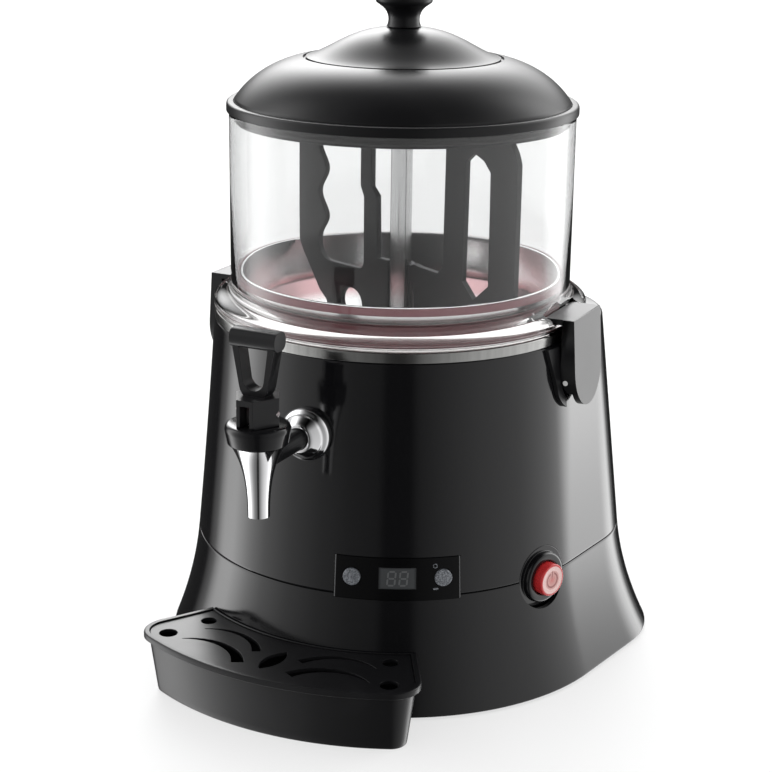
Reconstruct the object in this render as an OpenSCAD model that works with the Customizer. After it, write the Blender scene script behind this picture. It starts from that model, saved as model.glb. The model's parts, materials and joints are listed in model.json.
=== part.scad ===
// Counter-top hot chocolate dispenser: a heated bowl under a clear tank, stirring
// paddles, a lever tap and a drip tray. Millimetres. The origin lies on the counter,
// on the axis of the tank. The tap faces -Y. An azimuth is counted from -Y towards +X.

/* [Casing] */
// Radius of the casing's round front, just under the steel band
casing_r = 111; // [109:0.5:114]
// Height of the casing's top deck
deck_z = 200.8; // [198:0.2:203]
// Height of the seam between the casing and the skirt
seam_z = 68; // [65:0.5:70]
// Growth of the front radius from the deck to the seam
casing_flare = 11.3; // [9:0.1:13]
// Growth of the front radius from the seam to the counter
skirt_flare = 17.2; // [14:0.1:19]
// Growth of the half width from the deck to the seam
casing_side_flare = 16; // [13:0.5:18]
// Growth of the half width from the seam to the counter
skirt_side_flare = 20; // [17:0.5:23]
// Growth of the back from the seam to the counter
skirt_back_flare = 8; // [5:0.5:10]
// Radius of the rear corners
corner_r = 75; // [70:1:80]
// Wall of the casing and of the skirt
casing_wall = 2.5; // [2.3:0.1:3]
// Thickness of the top deck
deck_t = 2.5; // [2:0.1:3]
// Height of the skirt's edge above the counter
skirt_lift = 1.5; // [1:0.1:2]
// Width of the skirt's inner lip that carries the base plate
lip_w = 9.5; // [9:0.5:11]
// Thickness of the base plate
base_plate_t = 2.5; // [2:0.1:3]
// Radius of a rubber foot
foot_r = 11; // [9:0.5:13]

/* [Tank and lid] */
// Width of the shoulder between the clear tank and the edge of the casing's top
shoulder_w = 10; // [9:0.25:10.5]
// Wall of the tank
tank_wall = 2.5; // [2:0.1:2.8]
// Height of the tank's rim
tank_top_z = 322.5; // [318:0.5:330]
// Height above the foot at which the tank's flare starts
flare_h = 15.6; // [14:0.1:18]
// Height of the lid's rim
lid_rim_h = 5.6; // [4.5:0.1:7]
// Height of the dome above the rim
dome_h = 42; // [36:0.5:46]
// Thickness of the lid's shell
lid_wall = 2.6; // [2:0.1:3]
// Radius of the lid's round knob
knob_r = 17; // [14:0.5:19]

/* [Bowl and drive] */
// Width of the gap between the bowl and the tank, which the gaskets fill
gasket_w = 2.5; // [2.3:0.1:3]
// Sheet thickness of the bowl
bowl_t = 1.5; // [1:0.1:1.8]
// Height of the bowl's floor
bowl_floor_z = 152; // [151:0.5:153]
// Outer radius of the steel centre tube
tube_r = 6.4; // [6.2:0.1:6.6]
// Radius of the drive shaft
shaft_r = 3.9; // [3.5:0.1:4.2]
// Thickness of the paddles
paddle_t = 4; // [3:0.5:5]
// Radius of the gear motor's can
motor_r = 30; // [27:0.5:30]

/* [Tap] */
// Distance of the tap's upright axis from the casing's front edge
tap_out = 57; // [51:0.5:63]
// Height of the tap's shank
tap_z = 157.5; // [156.5:0.5:158]
// Radius of the shank
shank_r = 6; // [5.5:0.1:6.5]
// Lowest point of the chrome spout
spout_tip_z = 127; // [124:0.5:131]
// Width of the handle's top bar
bar_w = 27.5; // [25:0.5:32]
// Diameter of the handle's cross pin
pin_d = 3; // [2.6:0.1:3.2]

/* [Panel and switch] */
// Azimuth of the control panel's middle
panel_az = 26.5; // [24:0.5:30]
// Azimuth from the panel's middle to each end
panel_half_az = 17; // [16:0.5:19]
// Height of the panel's lower edge
panel_z = 66; // [64:0.5:67]
// Height of the panel
panel_h = 25; // [23:0.5:27]
// Radius of a panel button
button_r = 5; // [4:0.1:5.5]
// Azimuth of the power switch
switch_az = 70; // [67:0.5:73]
// Radius of the switch's red cap
power_r = 9.6; // [8.5:0.1:10]

/* [Clips] */
// How far a clip's face stands out from the casing's edge, at its top
clip_out = 8.5; // [8:0.25:9.5]
// Half width of a clip
clip_half_w = 21; // [19:0.5:22]
// Distance from a clip's flat top down to its round end
clip_h = 53.5; // [50:0.5:56]

/* [Drip tray] */
// Height of the tray's rim
tray_h = 37; // [33:0.5:40]
// Azimuth of the tray's sides under its rim, which run towards the tank's axis
tray_half_az = 30.4; // [27:0.2:32]
// How far the tray's round front stands out from the skirt
tray_out = 37.9; // [34:0.5:42]
// Wall of the tray
tray_wall = 2; // [1.6:0.1:2.4]
// Thickness of the grate
grate_t = 2; // [1.6:0.1:2.4]

/* [Hidden] */

$fn = 96;
gap = 0.3;           // between a seated piece and its seat
snug = 0.1;          // between flat faces and in fixed fits
run = 0.05;          // radial clearance of a running fit
past = 1;            // how far a cutter runs past what it cuts
seam_gap = 0.5;      // shadow gap between the casing and the skirt
front_steps = 22;    // segments of half the casing's front arc
corner_steps = 10;   // segments of one rear corner

// ---- the casing's outline -------------------------------------------------------

// 0 at the deck, 1 at the seam
function casing_share(z) = (deck_z - z) / (deck_z - seam_z);
// 0 at the seam, 1 at the counter, eased so that the skirt sweeps outwards
function skirt_share(z) = let (u = max(0, (seam_z - z) / seam_z)) 0.385 * u + 0.615 * u * u;
function front_r(z) = let (c = min(1, casing_share(z)))
    casing_r + casing_flare * (0.85 * c + 0.15 * c * c) + skirt_flare * skirt_share(z);
function corner_centre(z) = let (c = min(1, casing_share(z)), s = skirt_share(z))
    [casing_r - corner_r + casing_side_flare * c + skirt_side_flare * s,
     casing_r - corner_r + c + skirt_back_flare * s];
function back_y(z) = corner_centre(z).y + corner_r;

// One level of the casing: a round front, tangent sides and round rear corners
function half_plan(z, inset) = let (
    r = front_r(z),
    c = corner_centre(z),
    side = atan2(c.y, c.x) - acos((r - corner_r) / norm(c)))
    concat(
        [for (i = [0:front_steps]) let (t = -90 + (side + 90) * i / front_steps)
            (r - inset) * [cos(t), sin(t)]],
        [for (i = [0:corner_steps]) let (t = side + (90 - side) * i / corner_steps)
            c + (corner_r - inset) * [cos(t), sin(t)]]);
function plan(z, inset = 0) = let (h = half_plan(z, inset))
    concat(h, [for (i = [len(h) - 1:-1:1]) [-h[i].x, h[i].y]]);
function level(z, inset = 0) = [for (p = plan(z, inset)) [p.x, p.y, z]];
function round_level(z, r) = [for (p = plan(z)) let (q = r * p / norm(p)) [q.x, q.y, z]];
function steps(from, to, n) = [for (i = [0:n]) from + (to - from) * i / n];

// The two triangles of a wall's quad; the left half is cut along the other diagonal, as a mirror image
function wall_faces(a, b, c, d, left) = left ? [[a, d, b], [b, d, c]] : [[a, c, b], [a, d, c]];

// A closed ring of walls through the given levels, the last joined to the first
module tube(levels) {
    n = len(levels[0]);
    m = len(levels);
    polyhedron(
        points = [for (l = levels) each l],
        faces = [for (i = [0:m - 1], j = [0:n - 1])
            let (a = i * n + j, b = i * n + (j + 1) % n,
                c = ((i + 1) % m) * n + (j + 1) % n, d = ((i + 1) % m) * n + j)
            each wall_faces(a, b, c, d, 2 * j > n)]);
}

tank_r = casing_r - shoulder_w;
tank_in = tank_r - tank_wall;
bowl_r = tank_in - gasket_w;
clip_x = casing_r + clip_out;
tap_reach = casing_r + tap_out;

casing_levels = steps(seam_z + seam_gap, deck_z, 6);

// A solid block that follows the casing's upper levels, shrunk by inset
module casing_block(inset) {
    levels = [for (i = [3:6]) level(casing_levels[i] + (i == 6 ? past : 0), inset)];
    n = len(levels[0]);
    m = len(levels);
    polyhedron(
        points = [for (l = levels) each l],
        faces = concat(
            [for (i = [0:m - 2], j = [0:n - 1]) let (k = (j + 1) % n, a = i * n, b = a + n)
                each wall_faces(a + j, a + k, b + k, b + j, 2 * j > n)],
            [[for (j = [0:n - 1]) j], [for (j = [n - 1:-1:0]) (m - 1) * n + j]]));
}

// ---- helpers --------------------------------------------------------------------

// Turns -Y to the given azimuth
module at_az(az) {
    rotate([0, 0, az]) children();
}

// A cylinder that points outwards at an azimuth, from one radius to another
module spoke(az, z, from, to, r) {
    at_az(az) translate([0, -from, z]) rotate([90, 0, 0]) cylinder(h = to - from, r = r);
}

// A ring between two radii
module ring(z0, z1, inner, outer) {
    translate([0, 0, z0]) difference() {
        cylinder(h = z1 - z0, r = outer);
        translate([0, 0, -past]) cylinder(h = z1 - z0 + 2 * past, r = inner);
    }
}

// Puts an outline drawn as (radius, height) upright at an azimuth, t thick
module upright(az, t) {
    at_az(az) rotate([90, 0, -90]) translate([0, 0, -t / 2]) linear_extrude(t) children();
}

// Puts an outline drawn as (y, z) upright, and extrudes it along +X from x0 to x1
module along_x(x0, x1) {
    translate([x0, 0, 0]) rotate([90, 0, 90]) linear_extrude(x1 - x0) children();
}

function arc(c, r, t0, t1, n) = [for (t = steps(t0, t1, n)) c + r * [cos(t), sin(t)]];
function rounded(x, y, r) = concat(
    arc([x - r, y - r], r, 0, 90, 5), arc([r - x, y - r], r, 90, 180, 5),
    arc([r - x, r - y], r, 180, 270, 5), arc([x - r, r - y], r, 270, 360, 5));
function bezier(p, t) = let (s = 1 - t)
    s * s * s * p[0] + 3 * s * s * t * p[1] + 3 * s * t * t * p[2] + t * t * t * p[3];
function curve(p, n) = [for (t = steps(0, 1, n)) bezier(p, t)];

// ---- casing, skirt and base -----------------------------------------------------

tongue_t = 1.2;
tongue_h = 4.2;
rabbet = casing_wall - tongue_t - gap;      // wall that is left outside the tongue
deck_hole_r = bowl_r + 4;
lip_z = 4.2;
plate_z = lip_z + snug;
vent_w = 3;
vent_pitch = 6;
vent_count = 11;
vent_z = [138, 184];
inlet_z = 100;
inlet_body = [28, 20];
shell_inset = casing_wall;

module panel_recess() {
    recess_d = 1.2;
    z0 = panel_z;
    z1 = panel_z + panel_h;
    at_az(panel_az) rotate([0, 0, -90 - panel_half_az]) rotate_extrude(angle = 2 * panel_half_az)
        polygon([[front_r(z0) - recess_d, z0], [front_r(z0) + 2 * past, z0],
            [front_r(z1) + 2 * past, z1], [front_r(z1) - recess_d, z1]]);
}

switch_hole_r = 18.5;
switch_z = 67.5;
button_z = panel_z + panel_h * 0.52;
button_az = 12.2;
board_r = front_r(button_z) - 9.9;           // from the axis to the control board
boss_r = 2;
boss_az = 16.1;

module wall_openings() {
    spoke(0, tap_z, casing_r - 10, casing_r + 12, shank_r + gap);
    panel_recess();
    for (s = [-1, 1])
        spoke(panel_az + s * button_az, button_z, casing_r - 5, casing_r + 15, button_r + gap);
    at_az(panel_az) translate([-11, -casing_r - 15, button_z - 6.5]) cube([22, 30, 13]);
    spoke(switch_az, switch_z, casing_r - 5, casing_r + 25, switch_hole_r);
}

module upper_casing() {
    color("#161617") difference() {
        union() {
            tube(concat(
                [for (z = casing_levels) level(z)],
                [round_level(deck_z, deck_hole_r - 8), round_level(deck_z - deck_t, deck_hole_r - 8)],
                [for (z = steps(deck_z - deck_t, seam_z + tongue_h + 0.8, 5)) level(z, shell_inset)],
                [level(seam_z + tongue_h + 0.8, rabbet), level(seam_z + seam_gap, rabbet)]));
            // bosses that hold the control board
            for (s = [-1, 1])
                at_az(panel_az) translate([s * front_r(button_z) * sin(boss_az), -board_r, button_z + 7])
                    rotate([90, 0, 0])
                    cylinder(h = front_r(button_z) * cos(boss_az) - 1.6 - board_r, r = boss_r);
        }
        wall_openings();
        translate([0, 0, deck_z - deck_t - past]) cylinder(h = deck_t + 2 * past, r = deck_hole_r);
        for (i = [0:vent_count - 1])
            translate([(i - (vent_count - 1) / 2) * vent_pitch - vent_w / 2,
                casing_r - 8, vent_z[0]])
                cube([vent_w, 20, vent_z[1] - vent_z[0]]);
        translate([-inlet_body.x / 2 - snug, casing_r - 8, inlet_z - inlet_body.y / 2 - snug])
            cube([inlet_body.x + 2 * snug, 20, inlet_body.y + 2 * snug]);
    }
}

// Places of the screws that join the lip and the base plate, inset from the skirt
screw_inset = shell_inset + lip_w - 4;
screw_boss_h = 4;
front_screw_az = [-78, -26, 26, 78];
function rear_screw(s) = let (c = corner_centre(lip_z), q = c + (corner_r - screw_inset) * [cos(45), sin(45)])
    [s * q.x, q.y];
screw_places = concat(
    [for (a = front_screw_az) (front_r(lip_z) - screw_inset) * [sin(a), -cos(a)]],
    [rear_screw(-1), rear_screw(1)]);
screw_r = 1.5;
screw_head_r = 3;

module lower_skirt() {
    top = seam_z + tongue_h;
    color("#161617") difference() {
        tube(concat(
            [for (z = steps(skirt_lift, seam_z, 9)) level(z)],
            [level(seam_z, rabbet + gap), level(top, rabbet + gap), level(top, shell_inset)],
            [for (z = steps(seam_z, lip_z, 8)) level(z, shell_inset)],
            [level(lip_z, shell_inset + lip_w), level(skirt_lift, shell_inset + lip_w)]));
        wall_openings();
        for (p = screw_places) translate([p.x, p.y, 0]) {
            cylinder(h = lip_z + past, r = screw_r + snug);
            cylinder(h = skirt_lift + 1.2, r = screw_head_r + snug);
        }
    }
}

foot_place = 80;
foot_screw_r = 2;
board_posts = [[-32, 20], [32, 20], [-32, 62], [32, 62]];
board_z = 14;

module base_plate() {
    top = plate_z + base_plate_t;
    color("#2b2b2d") difference() {
        union() {
            translate([0, 0, plate_z]) linear_extrude(base_plate_t)
                polygon(plan(top, shell_inset + gap));
            for (p = screw_places) translate([p.x, p.y, plate_z]) cylinder(h = screw_boss_h, r = 2.8);
            for (x = [-1, 1], y = [-1, 1])
                translate([x * foot_place, y * foot_place, plate_z]) cylinder(h = 8, r = 5);
            for (p = board_posts) translate([p.x, p.y, plate_z]) cylinder(h = board_z - plate_z, r = 3);
        }
        for (p = screw_places) translate([p.x, p.y, plate_z - past])
            cylinder(h = screw_boss_h + past - 0.4, r = screw_r + run);
        for (x = [-1, 1], y = [-1, 1])
            translate([x * foot_place, y * foot_place, plate_z - past])
                cylinder(h = 7, r = foot_screw_r + run);
        for (i = [-4:4]) translate([i * 9 - 2, -75, plate_z - past]) cube([4, 60, base_plate_t + 2 * past]);
    }
}

module base_screws() {
    color("silver") for (p = screw_places) translate([p.x, p.y, skirt_lift]) {
        cylinder(h = 1.1, r = screw_head_r);
        cylinder(h = plate_z + screw_boss_h - 0.8 - skirt_lift, r = screw_r);
    }
}

module rubber_feet() {
    color("#1d1d1d") for (x = [-1, 1], y = [-1, 1]) translate([x * foot_place, y * foot_place, 0])
        difference() {
            union() {
                cylinder(h = 1, r1 = foot_r - 1, r2 = foot_r);
                translate([0, 0, 1]) cylinder(h = plate_z - 1, r = foot_r);
            }
            translate([0, 0, -past]) cylinder(h = plate_z + 2 * past, r = foot_screw_r + snug);
            translate([0, 0, -past]) cylinder(h = 1.8 + past, r = 4.6);
        }
}

module foot_screws() {
    color("silver") for (x = [-1, 1], y = [-1, 1]) translate([x * foot_place, y * foot_place, 0.6]) {
        cylinder(h = 1.1, r = 4);
        cylinder(h = plate_z + 5, r = foot_screw_r);
    }
}

module power_inlet() {
    face_y = back_y(inlet_z - 14) + snug;
    flange = [50, 26];
    color("#151515") translate([0, face_y, inlet_z]) rotate([-90, 0, 0]) difference() {
        union() {
            linear_extrude(2.2) polygon(rounded(flange.x / 2, flange.y / 2, 4));
            translate([0, 0, -20]) linear_extrude(20.1)
                polygon(rounded(inlet_body.x / 2, inlet_body.y / 2, 2));
        }
        translate([0, 0, -14]) linear_extrude(20) polygon(rounded(12.2, 8, 3));
        for (s = [-1, 1]) translate([s * 20, 0, -past]) cylinder(h = 5, r = 1.6);
    }
    color("silver") for (s = [-1, 0, 1])
        translate([s * 7 - 1, face_y - 14.5, inlet_z + (s == 0 ? 2 : -2) - 2]) cube([2, 8, 4]);
}

// ---- steel band, bowl and gaskets -----------------------------------------------

band_t = 1;
band_top_z = deck_z + 6.1;
band_z = deck_z + snug;
flange_z = band_top_z + snug;                // underside of the bowl's flange
flange_r = casing_r - 4;
bowl_in = bowl_r - bowl_t;
bowl_rim_z = flange_z + 21.5;
bowl_bend_z = flange_z - 7;
bowl_low_r = bowl_r - 22;
gasket_z = flange_z + bowl_t;
tank_foot_z = gasket_z + 1.2;                // where the tank stands on its gasket

module steel_band() {
    outer = casing_r;
    color("#d9d9d6") rotate_extrude() polygon(concat(
        [[outer - band_t, band_z], [outer, band_z]],
        arc([outer - 1.4, band_top_z - 1.4], 1.4, 0, 90, 6),
        [[bowl_r + 2.2, band_top_z], [bowl_r + 2.2, band_top_z - band_t],
            [outer - 1.4, band_top_z - band_t], [outer - band_t, band_top_z - 1.6]]));
}

// The bowl's inner outline, from its rim down to the middle of its floor
function bowl_inside(r) = concat(
    [[r, bowl_bend_z]],
    curve([[r - 6, bowl_bend_z - 12], [bowl_low_r + 8, bowl_floor_z + 16],
        [bowl_low_r, bowl_floor_z], [bowl_low_r - 14, bowl_floor_z]], 10));

outlet_r = 9;
outlet_y = casing_r - 13;                    // outer end of the bowl's tap boss

module heating_bowl() {
    color("#c9c9c7") difference() {
        union() {
            rotate_extrude() polygon(concat(
                [[0, bowl_rim_z], [bowl_r, bowl_rim_z], [bowl_r, flange_z + bowl_t],
                    [flange_r, flange_z + bowl_t], [flange_r, flange_z], [bowl_r, flange_z]],
                [for (p = bowl_inside(bowl_r)) [p.x, p.y - bowl_t]],
                [[0, bowl_floor_z - bowl_t]]));
            spoke(0, tap_z, bowl_low_r - 14, outlet_y, outlet_r);
        }
        rotate_extrude() polygon(concat(
            [[0, bowl_rim_z + past], [bowl_in, bowl_rim_z + past]],
            bowl_inside(bowl_in), [[0, bowl_floor_z]]));
        spoke(0, tap_z, bowl_low_r - 24, outlet_y + past, shank_r + run);
        translate([0, 0, bowl_floor_z - 2 * bowl_t]) cylinder(h = 3 * bowl_t, r = tube_r + run);
    }
}

module centre_tube() {
    color("#d4d4d2") ring(bowl_floor_z - bowl_t, tube_top_z, tube_in, tube_r);
}

module lower_gasket() {
    inner = bowl_r + snug;
    color("#c8606a") rotate_extrude() polygon([
        [inner, gasket_z + snug], [flange_r - 0.6, gasket_z + snug], [flange_r - 0.6, tank_foot_z - snug],
        [tank_in - snug, tank_foot_z - snug], [tank_in - snug, tank_foot_z + 7],
        [inner + 1, tank_foot_z + 7], [inner, tank_foot_z + 6]]);
}

module upper_gasket() {
    top = bowl_rim_z - 0.3;
    round_r = 0.8;
    color("#c8606a") rotate_extrude() polygon(concat(
        [[bowl_r + snug, top - 4.2], [tank_in - snug, top - 4.2]],
        arc([tank_in - snug - round_r, top - round_r], round_r, 0, 90, 4),
        arc([bowl_r + snug + round_r, top - round_r], round_r, 90, 180, 4)));
}

// ---- heating and drive ----------------------------------------------------------

bowl_under_z = bowl_floor_z - bowl_t;        // flat underside of the bowl
tube_in = tube_r - 0.8;
tube_top_z = tank_top_z - 13.5;
shaft_top_z = tube_top_z + 9.5;
shaft_low_z = bowl_under_z - 12;
square_w = 5.4;
plate_low_z = bowl_under_z - 20.5;           // underside of the motor plate
plate_t = 2;
post_place = 36;

module heater_ring() {
    color("#8f8f8d") ring(bowl_under_z - 5.4, bowl_under_z - snug, bowl_low_r - 30, bowl_low_r - 16);
}

module thermostat() {
    color("#b9b9b4") translate([-20, 12, 0]) {
        translate([0, 0, bowl_under_z - 4.1]) cylinder(h = 4, r = 8);
        translate([0, 0, bowl_under_z - 9]) cylinder(h = 5, r = 6);
    }
}

module gear_motor() {
    top = plate_low_z - snug;
    color("#a7a7a9") difference() {
        union() {
            translate([0, 0, top - 14]) cylinder(h = 14, r = motor_r);
            translate([0, 0, top - 40]) cylinder(h = 26.5, r = motor_r - 1.5);
            translate([-10, motor_r - 4, top - 36]) cube([20, 10, 18]);
        }
        translate([0, 0, top - 12]) cylinder(h = 13, r = 3.5 + run);
    }
}

module motor_bracket() {
    color("silver") {
        difference() {
            translate([0, 0, plate_low_z]) cylinder(h = plate_t, r = post_place + 6);
            translate([0, 0, plate_low_z - past]) cylinder(h = plate_t + 2 * past, r = 12);
        }
        for (a = [60, 180, 300]) at_az(a) translate([0, -post_place, plate_low_z + plate_t - 0.01])
            cylinder(h = bowl_under_z - plate_low_z - plate_t - snug, r = 3.5);
    }
}

module shaft_bushes() {
    color("#b08d57") {
        ring(bowl_under_z + 0.5, bowl_under_z + 10, shaft_r + run, tube_in - run);
        ring(tube_top_z - 6, tube_top_z - 0.5, shaft_r + run, tube_in - run);
    }
}

module drive_coupling() {
    color("#d0c9b8") difference() {
        union() {
            translate([0, 0, plate_low_z + plate_t + 1.2]) cylinder(h = 14, r = 8);
            translate([0, 0, plate_low_z - 11]) cylinder(h = plate_t + 13, r = 3.5);
        }
        translate([0, 0, shaft_low_z - snug]) cylinder(h = 20, r = shaft_r + run);
    }
}

module drive_shaft() {
    color("silver") {
        translate([0, 0, shaft_low_z]) cylinder(h = tube_top_z + 0.5 - shaft_low_z, r = shaft_r);
        translate([-square_w / 2, -square_w / 2, tube_top_z]) cube([square_w, square_w, shaft_top_z - tube_top_z]);
    }
}

// ---- agitator -------------------------------------------------------------------

paddle_az = 70;
spine_in = tube_r + 0.5;
spine_out = spine_in + 1.8;
spine_low_z = bowl_floor_z + 6;
spine_top_z = bowl_rim_z + 1.6;
paddle_top_z = tank_top_z - 5.5;
arm_h = 6;
cap_r = 7.8;
arm_r = cap_r + snug;                        // inner end of the paddles' top arms
wave_pitch = 30;
wave_depth = 3.4;
wave_z0 = spine_top_z + 4;                   // first crest of the finger waves
paddle_reach = tank_in - 5.5;                // how far the right paddle reaches out
post_r = 0.74 * paddle_reach;                // mean radius of the waved edge

// Turns outline points given as (share of the reach, height) into (radius, height)
function spread(points) = [for (p = points) [p.x * paddle_reach, p.y]];

module agitator_spine() {
    color("#1b1b1c") at_az(paddle_az) rotate([0, 0, -90]) translate([0, 0, spine_low_z])
        rotate_extrude(angle = 180) translate([spine_in, 0])
            square([spine_out - spine_in, spine_top_z - spine_low_z]);
}

module agitator_cap() {
    z0 = tube_top_z + 0.6;
    top = shaft_top_z + 4;
    color("#1b1b1c") difference() {
        rotate_extrude() polygon(concat(
            [[0, z0], [cap_r, z0]], arc([cap_r - 3, top - 3], 3, 0, 90, 6), [[0, top]]));
        translate([-square_w / 2 - snug, -square_w / 2 - snug, z0 - past])
            cube([square_w + 2 * snug, square_w + 2 * snug, shaft_top_z - z0 + past + snug]);
    }
}

module paddle_left() {
    foot = spine_low_z;
    arm_z = paddle_top_z - arm_h;
    color("#1b1b1c") upright(paddle_az + 180, paddle_t) difference() {
        polygon(concat(
            [[spine_out, foot]],
            spread([[0.54, foot], [0.645, foot + 16], [0.71, foot + 35], [0.775, foot + 40],
                [0.945, foot + 64], [0.984, foot + 71.5], [0.979, paddle_top_z]]),
            [[arm_r, paddle_top_z], [arm_r, arm_z]],
            spread([[0.26, arm_z], [0.26, arm_z - 37], [0.205, arm_z - 42], [0.195, spine_top_z]]),
            [[spine_out, spine_top_z]]));
        // the open window, its outer side waved like a finger grip
        polygon(concat(
            spread([[0.366, arm_z], [0.366, arm_z - 38], [0.333, arm_z - 44], [0.333, spine_top_z - 3]]),
            arc([0.387 * paddle_reach, spine_top_z - 5], 5, 180, 270, 4),
            arc([0.667 * paddle_reach, spine_top_z], 10, 270, 350, 5),
            [for (z = steps(wave_z0, arm_z, 26))
                [post_r + wave_depth * cos(360 * (z - wave_z0) / wave_pitch), z]]));
        translate([0.45 * paddle_reach, foot + 38]) circle(r = 9.5);
    }
}

module paddle_right() {
    foot = spine_low_z;
    arm_z = paddle_top_z - arm_h;
    slot_low = spine_top_z - 1;
    color("#1b1b1c") upright(paddle_az, paddle_t) difference() {
        polygon(concat(
            [[spine_out, foot]],
            spread([[0.54, foot], [0.645, foot + 7], [0.795, foot + 28], [0.945, foot + 54],
                [1, foot + 68], [1, paddle_top_z - 14], [0.979, paddle_top_z - 8],
                [0.925, paddle_top_z]]),
            [[arm_r, paddle_top_z], [arm_r, arm_z]],
            spread([[0.41, arm_z], [0.4, spine_top_z + 8], [0.387, spine_top_z + 3],
                [0.355, spine_top_z], [0.183, spine_top_z + 1], [0.14, spine_top_z + 2]]),
            [[spine_out, spine_top_z - 1], [spine_out, spine_top_z - 8]],
            spread([[0.13, spine_top_z - 10], [0.15, spine_top_z - 20], [0.15, foot + 17]]),
            [[spine_out, foot + 12]]));
        polygon(spread([[0.57, slot_low], [0.667, slot_low - 9.5], [0.79, slot_low + 1],
            [0.785, arm_z - 15], [0.73, arm_z - 9], [0.645, arm_z - 5.5], [0.58, arm_z - 11]]));
    }
}

// ---- tank and lid ---------------------------------------------------------------

skirt_z = band_top_z + 0.5;                  // lower edge of the tank's foot skirt
ledge_z = tank_foot_z + 2.3;                 // flat ledge under the clips
notch_half_w = clip_half_w + 1.5;

module tank() {
    flare_z = skirt_z + flare_h;
    foot_r1 = flange_r + 0.5;
    color("#dfe6e8", 0.35) difference() {
        rotate_extrude() polygon(concat(
            [[tank_in, tank_top_z], [tank_in, tank_foot_z], [foot_r1, tank_foot_z],
                [foot_r1, skirt_z], [casing_r, skirt_z]],
            curve([[casing_r, ledge_z + 0.3], [casing_r - 1, ledge_z + 3.6], [tank_r + 0.5, ledge_z + 3.6],
                [tank_r, flare_z]], 10),
            [[tank_r, tank_top_z]]));
        // flat landings for the two clips
        for (s = [0, 1]) mirror([s, 0, 0]) difference() {
            translate([tank_r - 8, -notch_half_w, ledge_z]) cube([20, 2 * notch_half_w, flare_h]);
            translate([0, 0, ledge_z - past]) cylinder(h = flare_h + 2 * past, r = tank_r + 0.2);
        }
    }
}

lid_z = tank_top_z + snug;
rim_z = lid_z + lid_rim_h;
lid_r = tank_r + 1.5;
bead_w = 4.5;                                // how far the lid's rim stands out from its dome
step_r = 57.5;
groove_d = 1.2;                              // shadow groove round the upper dome
neck_r = 9;
step_z = rim_z + dome_h * 0.59;
apex_z = rim_z + dome_h;

// The lid's upper face inside its rim bead, sunk by d: a low dome, a step and an ogee
function low_dome(d) = curve([[lid_r - bead_w - d, rim_z + 0.6 - d], [lid_r - 14 - d, rim_z + 14.5 - d],
    [step_r + 16, step_z - 2.2 - d], [step_r + 1.2, step_z - d]], 12);
function high_dome(d) = curve([[step_r - 0.6, step_z + 0.3 - d], [step_r - 14, step_z + 3.6 - d],
    [step_r - 25, apex_z - 1.2 - d], [neck_r, apex_z - d]], 12);

module lid() {
    color("#1c1c1d") {
        rotate_extrude() polygon(concat(
            [[lid_r, lid_z]], arc([lid_r - 1.4, rim_z - 1.4], 1.4, 0, 90, 5),
            [[lid_r - bead_w + 0.5, rim_z], [lid_r - bead_w, rim_z - 0.6]], low_dome(0),
            [[step_r + 0.8, step_z - groove_d], [step_r - 0.6, step_z - groove_d]], high_dome(0),
            [[3, apex_z], [3, apex_z - lid_wall]],
            [for (i = [12:-1:0]) high_dome(lid_wall)[i]],
            [for (i = [12:-1:0]) low_dome(lid_wall)[i]],
            [[tank_in - 4.5, lid_z], [tank_in - 4.5, lid_z - 6.6], [tank_in - 2.1, lid_z - 6.6],
                [tank_in - 2.1, lid_z]]));
    }
}

module lid_seal() {
    inner = tank_in - 2;
    color("#1d1d1d") rotate_extrude() polygon([
        [inner, lid_z - 5], [inner + 1, lid_z - 5], [tank_in - snug, lid_z - 3.6],
        [inner + 1, lid_z - 2.4], [inner + 1, lid_z - 0.6], [inner, lid_z - 0.6]]);
}

module lid_knob() {
    z0 = apex_z + snug;
    h = 1.75 * knob_r;
    color("#1c1c1d") difference() {
        rotate_extrude() polygon(concat(
            [[0, z0], [neck_r + 1, z0]],
            curve([[neck_r - 0.6, z0 + 3], [neck_r - 1, z0 + h * 0.45],
                [knob_r, z0 + h * 0.35], [knob_r, z0 + h * 0.62]], 8),
            curve([[knob_r - 0.1, z0 + h * 0.68], [knob_r - 1, z0 + h * 0.95],
                [knob_r * 0.55, z0 + h], [0, z0 + h]], 10)));
        translate([0, 0, z0 - past]) cylinder(h = 12 + past, r = 2 + run);
    }
}

module knob_screw() {
    z1 = apex_z - lid_wall - snug;
    color("silver") {
        translate([0, 0, z1 - 2.4]) cylinder(h = 2.4, r = 4.5);
        translate([0, 0, z1 - past]) cylinder(h = 12 + past, r = 2);
    }
}

// ---- clips ----------------------------------------------------------------------

clip_top_z = ledge_z + 3.5;
hook_in_x = tank_r + 1;
lean = 3.7;                                  // the clip's face follows the casing's slope
plate_out = 2.5;                             // how far a bracket stands proud of the casing
pin_z = clip_top_z - 37;
pin_x = front_r(pin_z) + plate_out + 0.5;
ear_r = 3.2;
skin_t = 2.4;
cheek_t = 2.6;
clip_pin_r = 1.5;
round_h = 23;
wing_w = 32;                                 // half width of a bracket at its top
wing_low_w = 24.5;                           // half width of a bracket beside the pin
wing_z = 176;                                // height at which its round end starts
wing_round = 17;
tail_gap_w = 15.5;                           // half width of the gap for the clip's tail
seat_t = 1;                                  // what is left of a bracket behind the clip's cheeks
knuckle_r = 3.4;                             // round end of the front cheek, about the pin
clip_swing = 19;                             // how far a clip opens, in degrees

// A clip's outline as (y, z): straight sides and a half-oval lower end
function clip_outline(w, top, low) = concat(
    [[w, top], [-w, top]],
    [for (t = steps(180, 360, 20)) [w * cos(t), low + round_h + (round_h) * sin(t)]]);

// The outline of the hollow in a bracket that holds its clip
module clip_window() {
    polygon(clip_outline(clip_half_w + 0.6, clip_top_z, clip_top_z - clip_h - 0.6));
}

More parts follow.
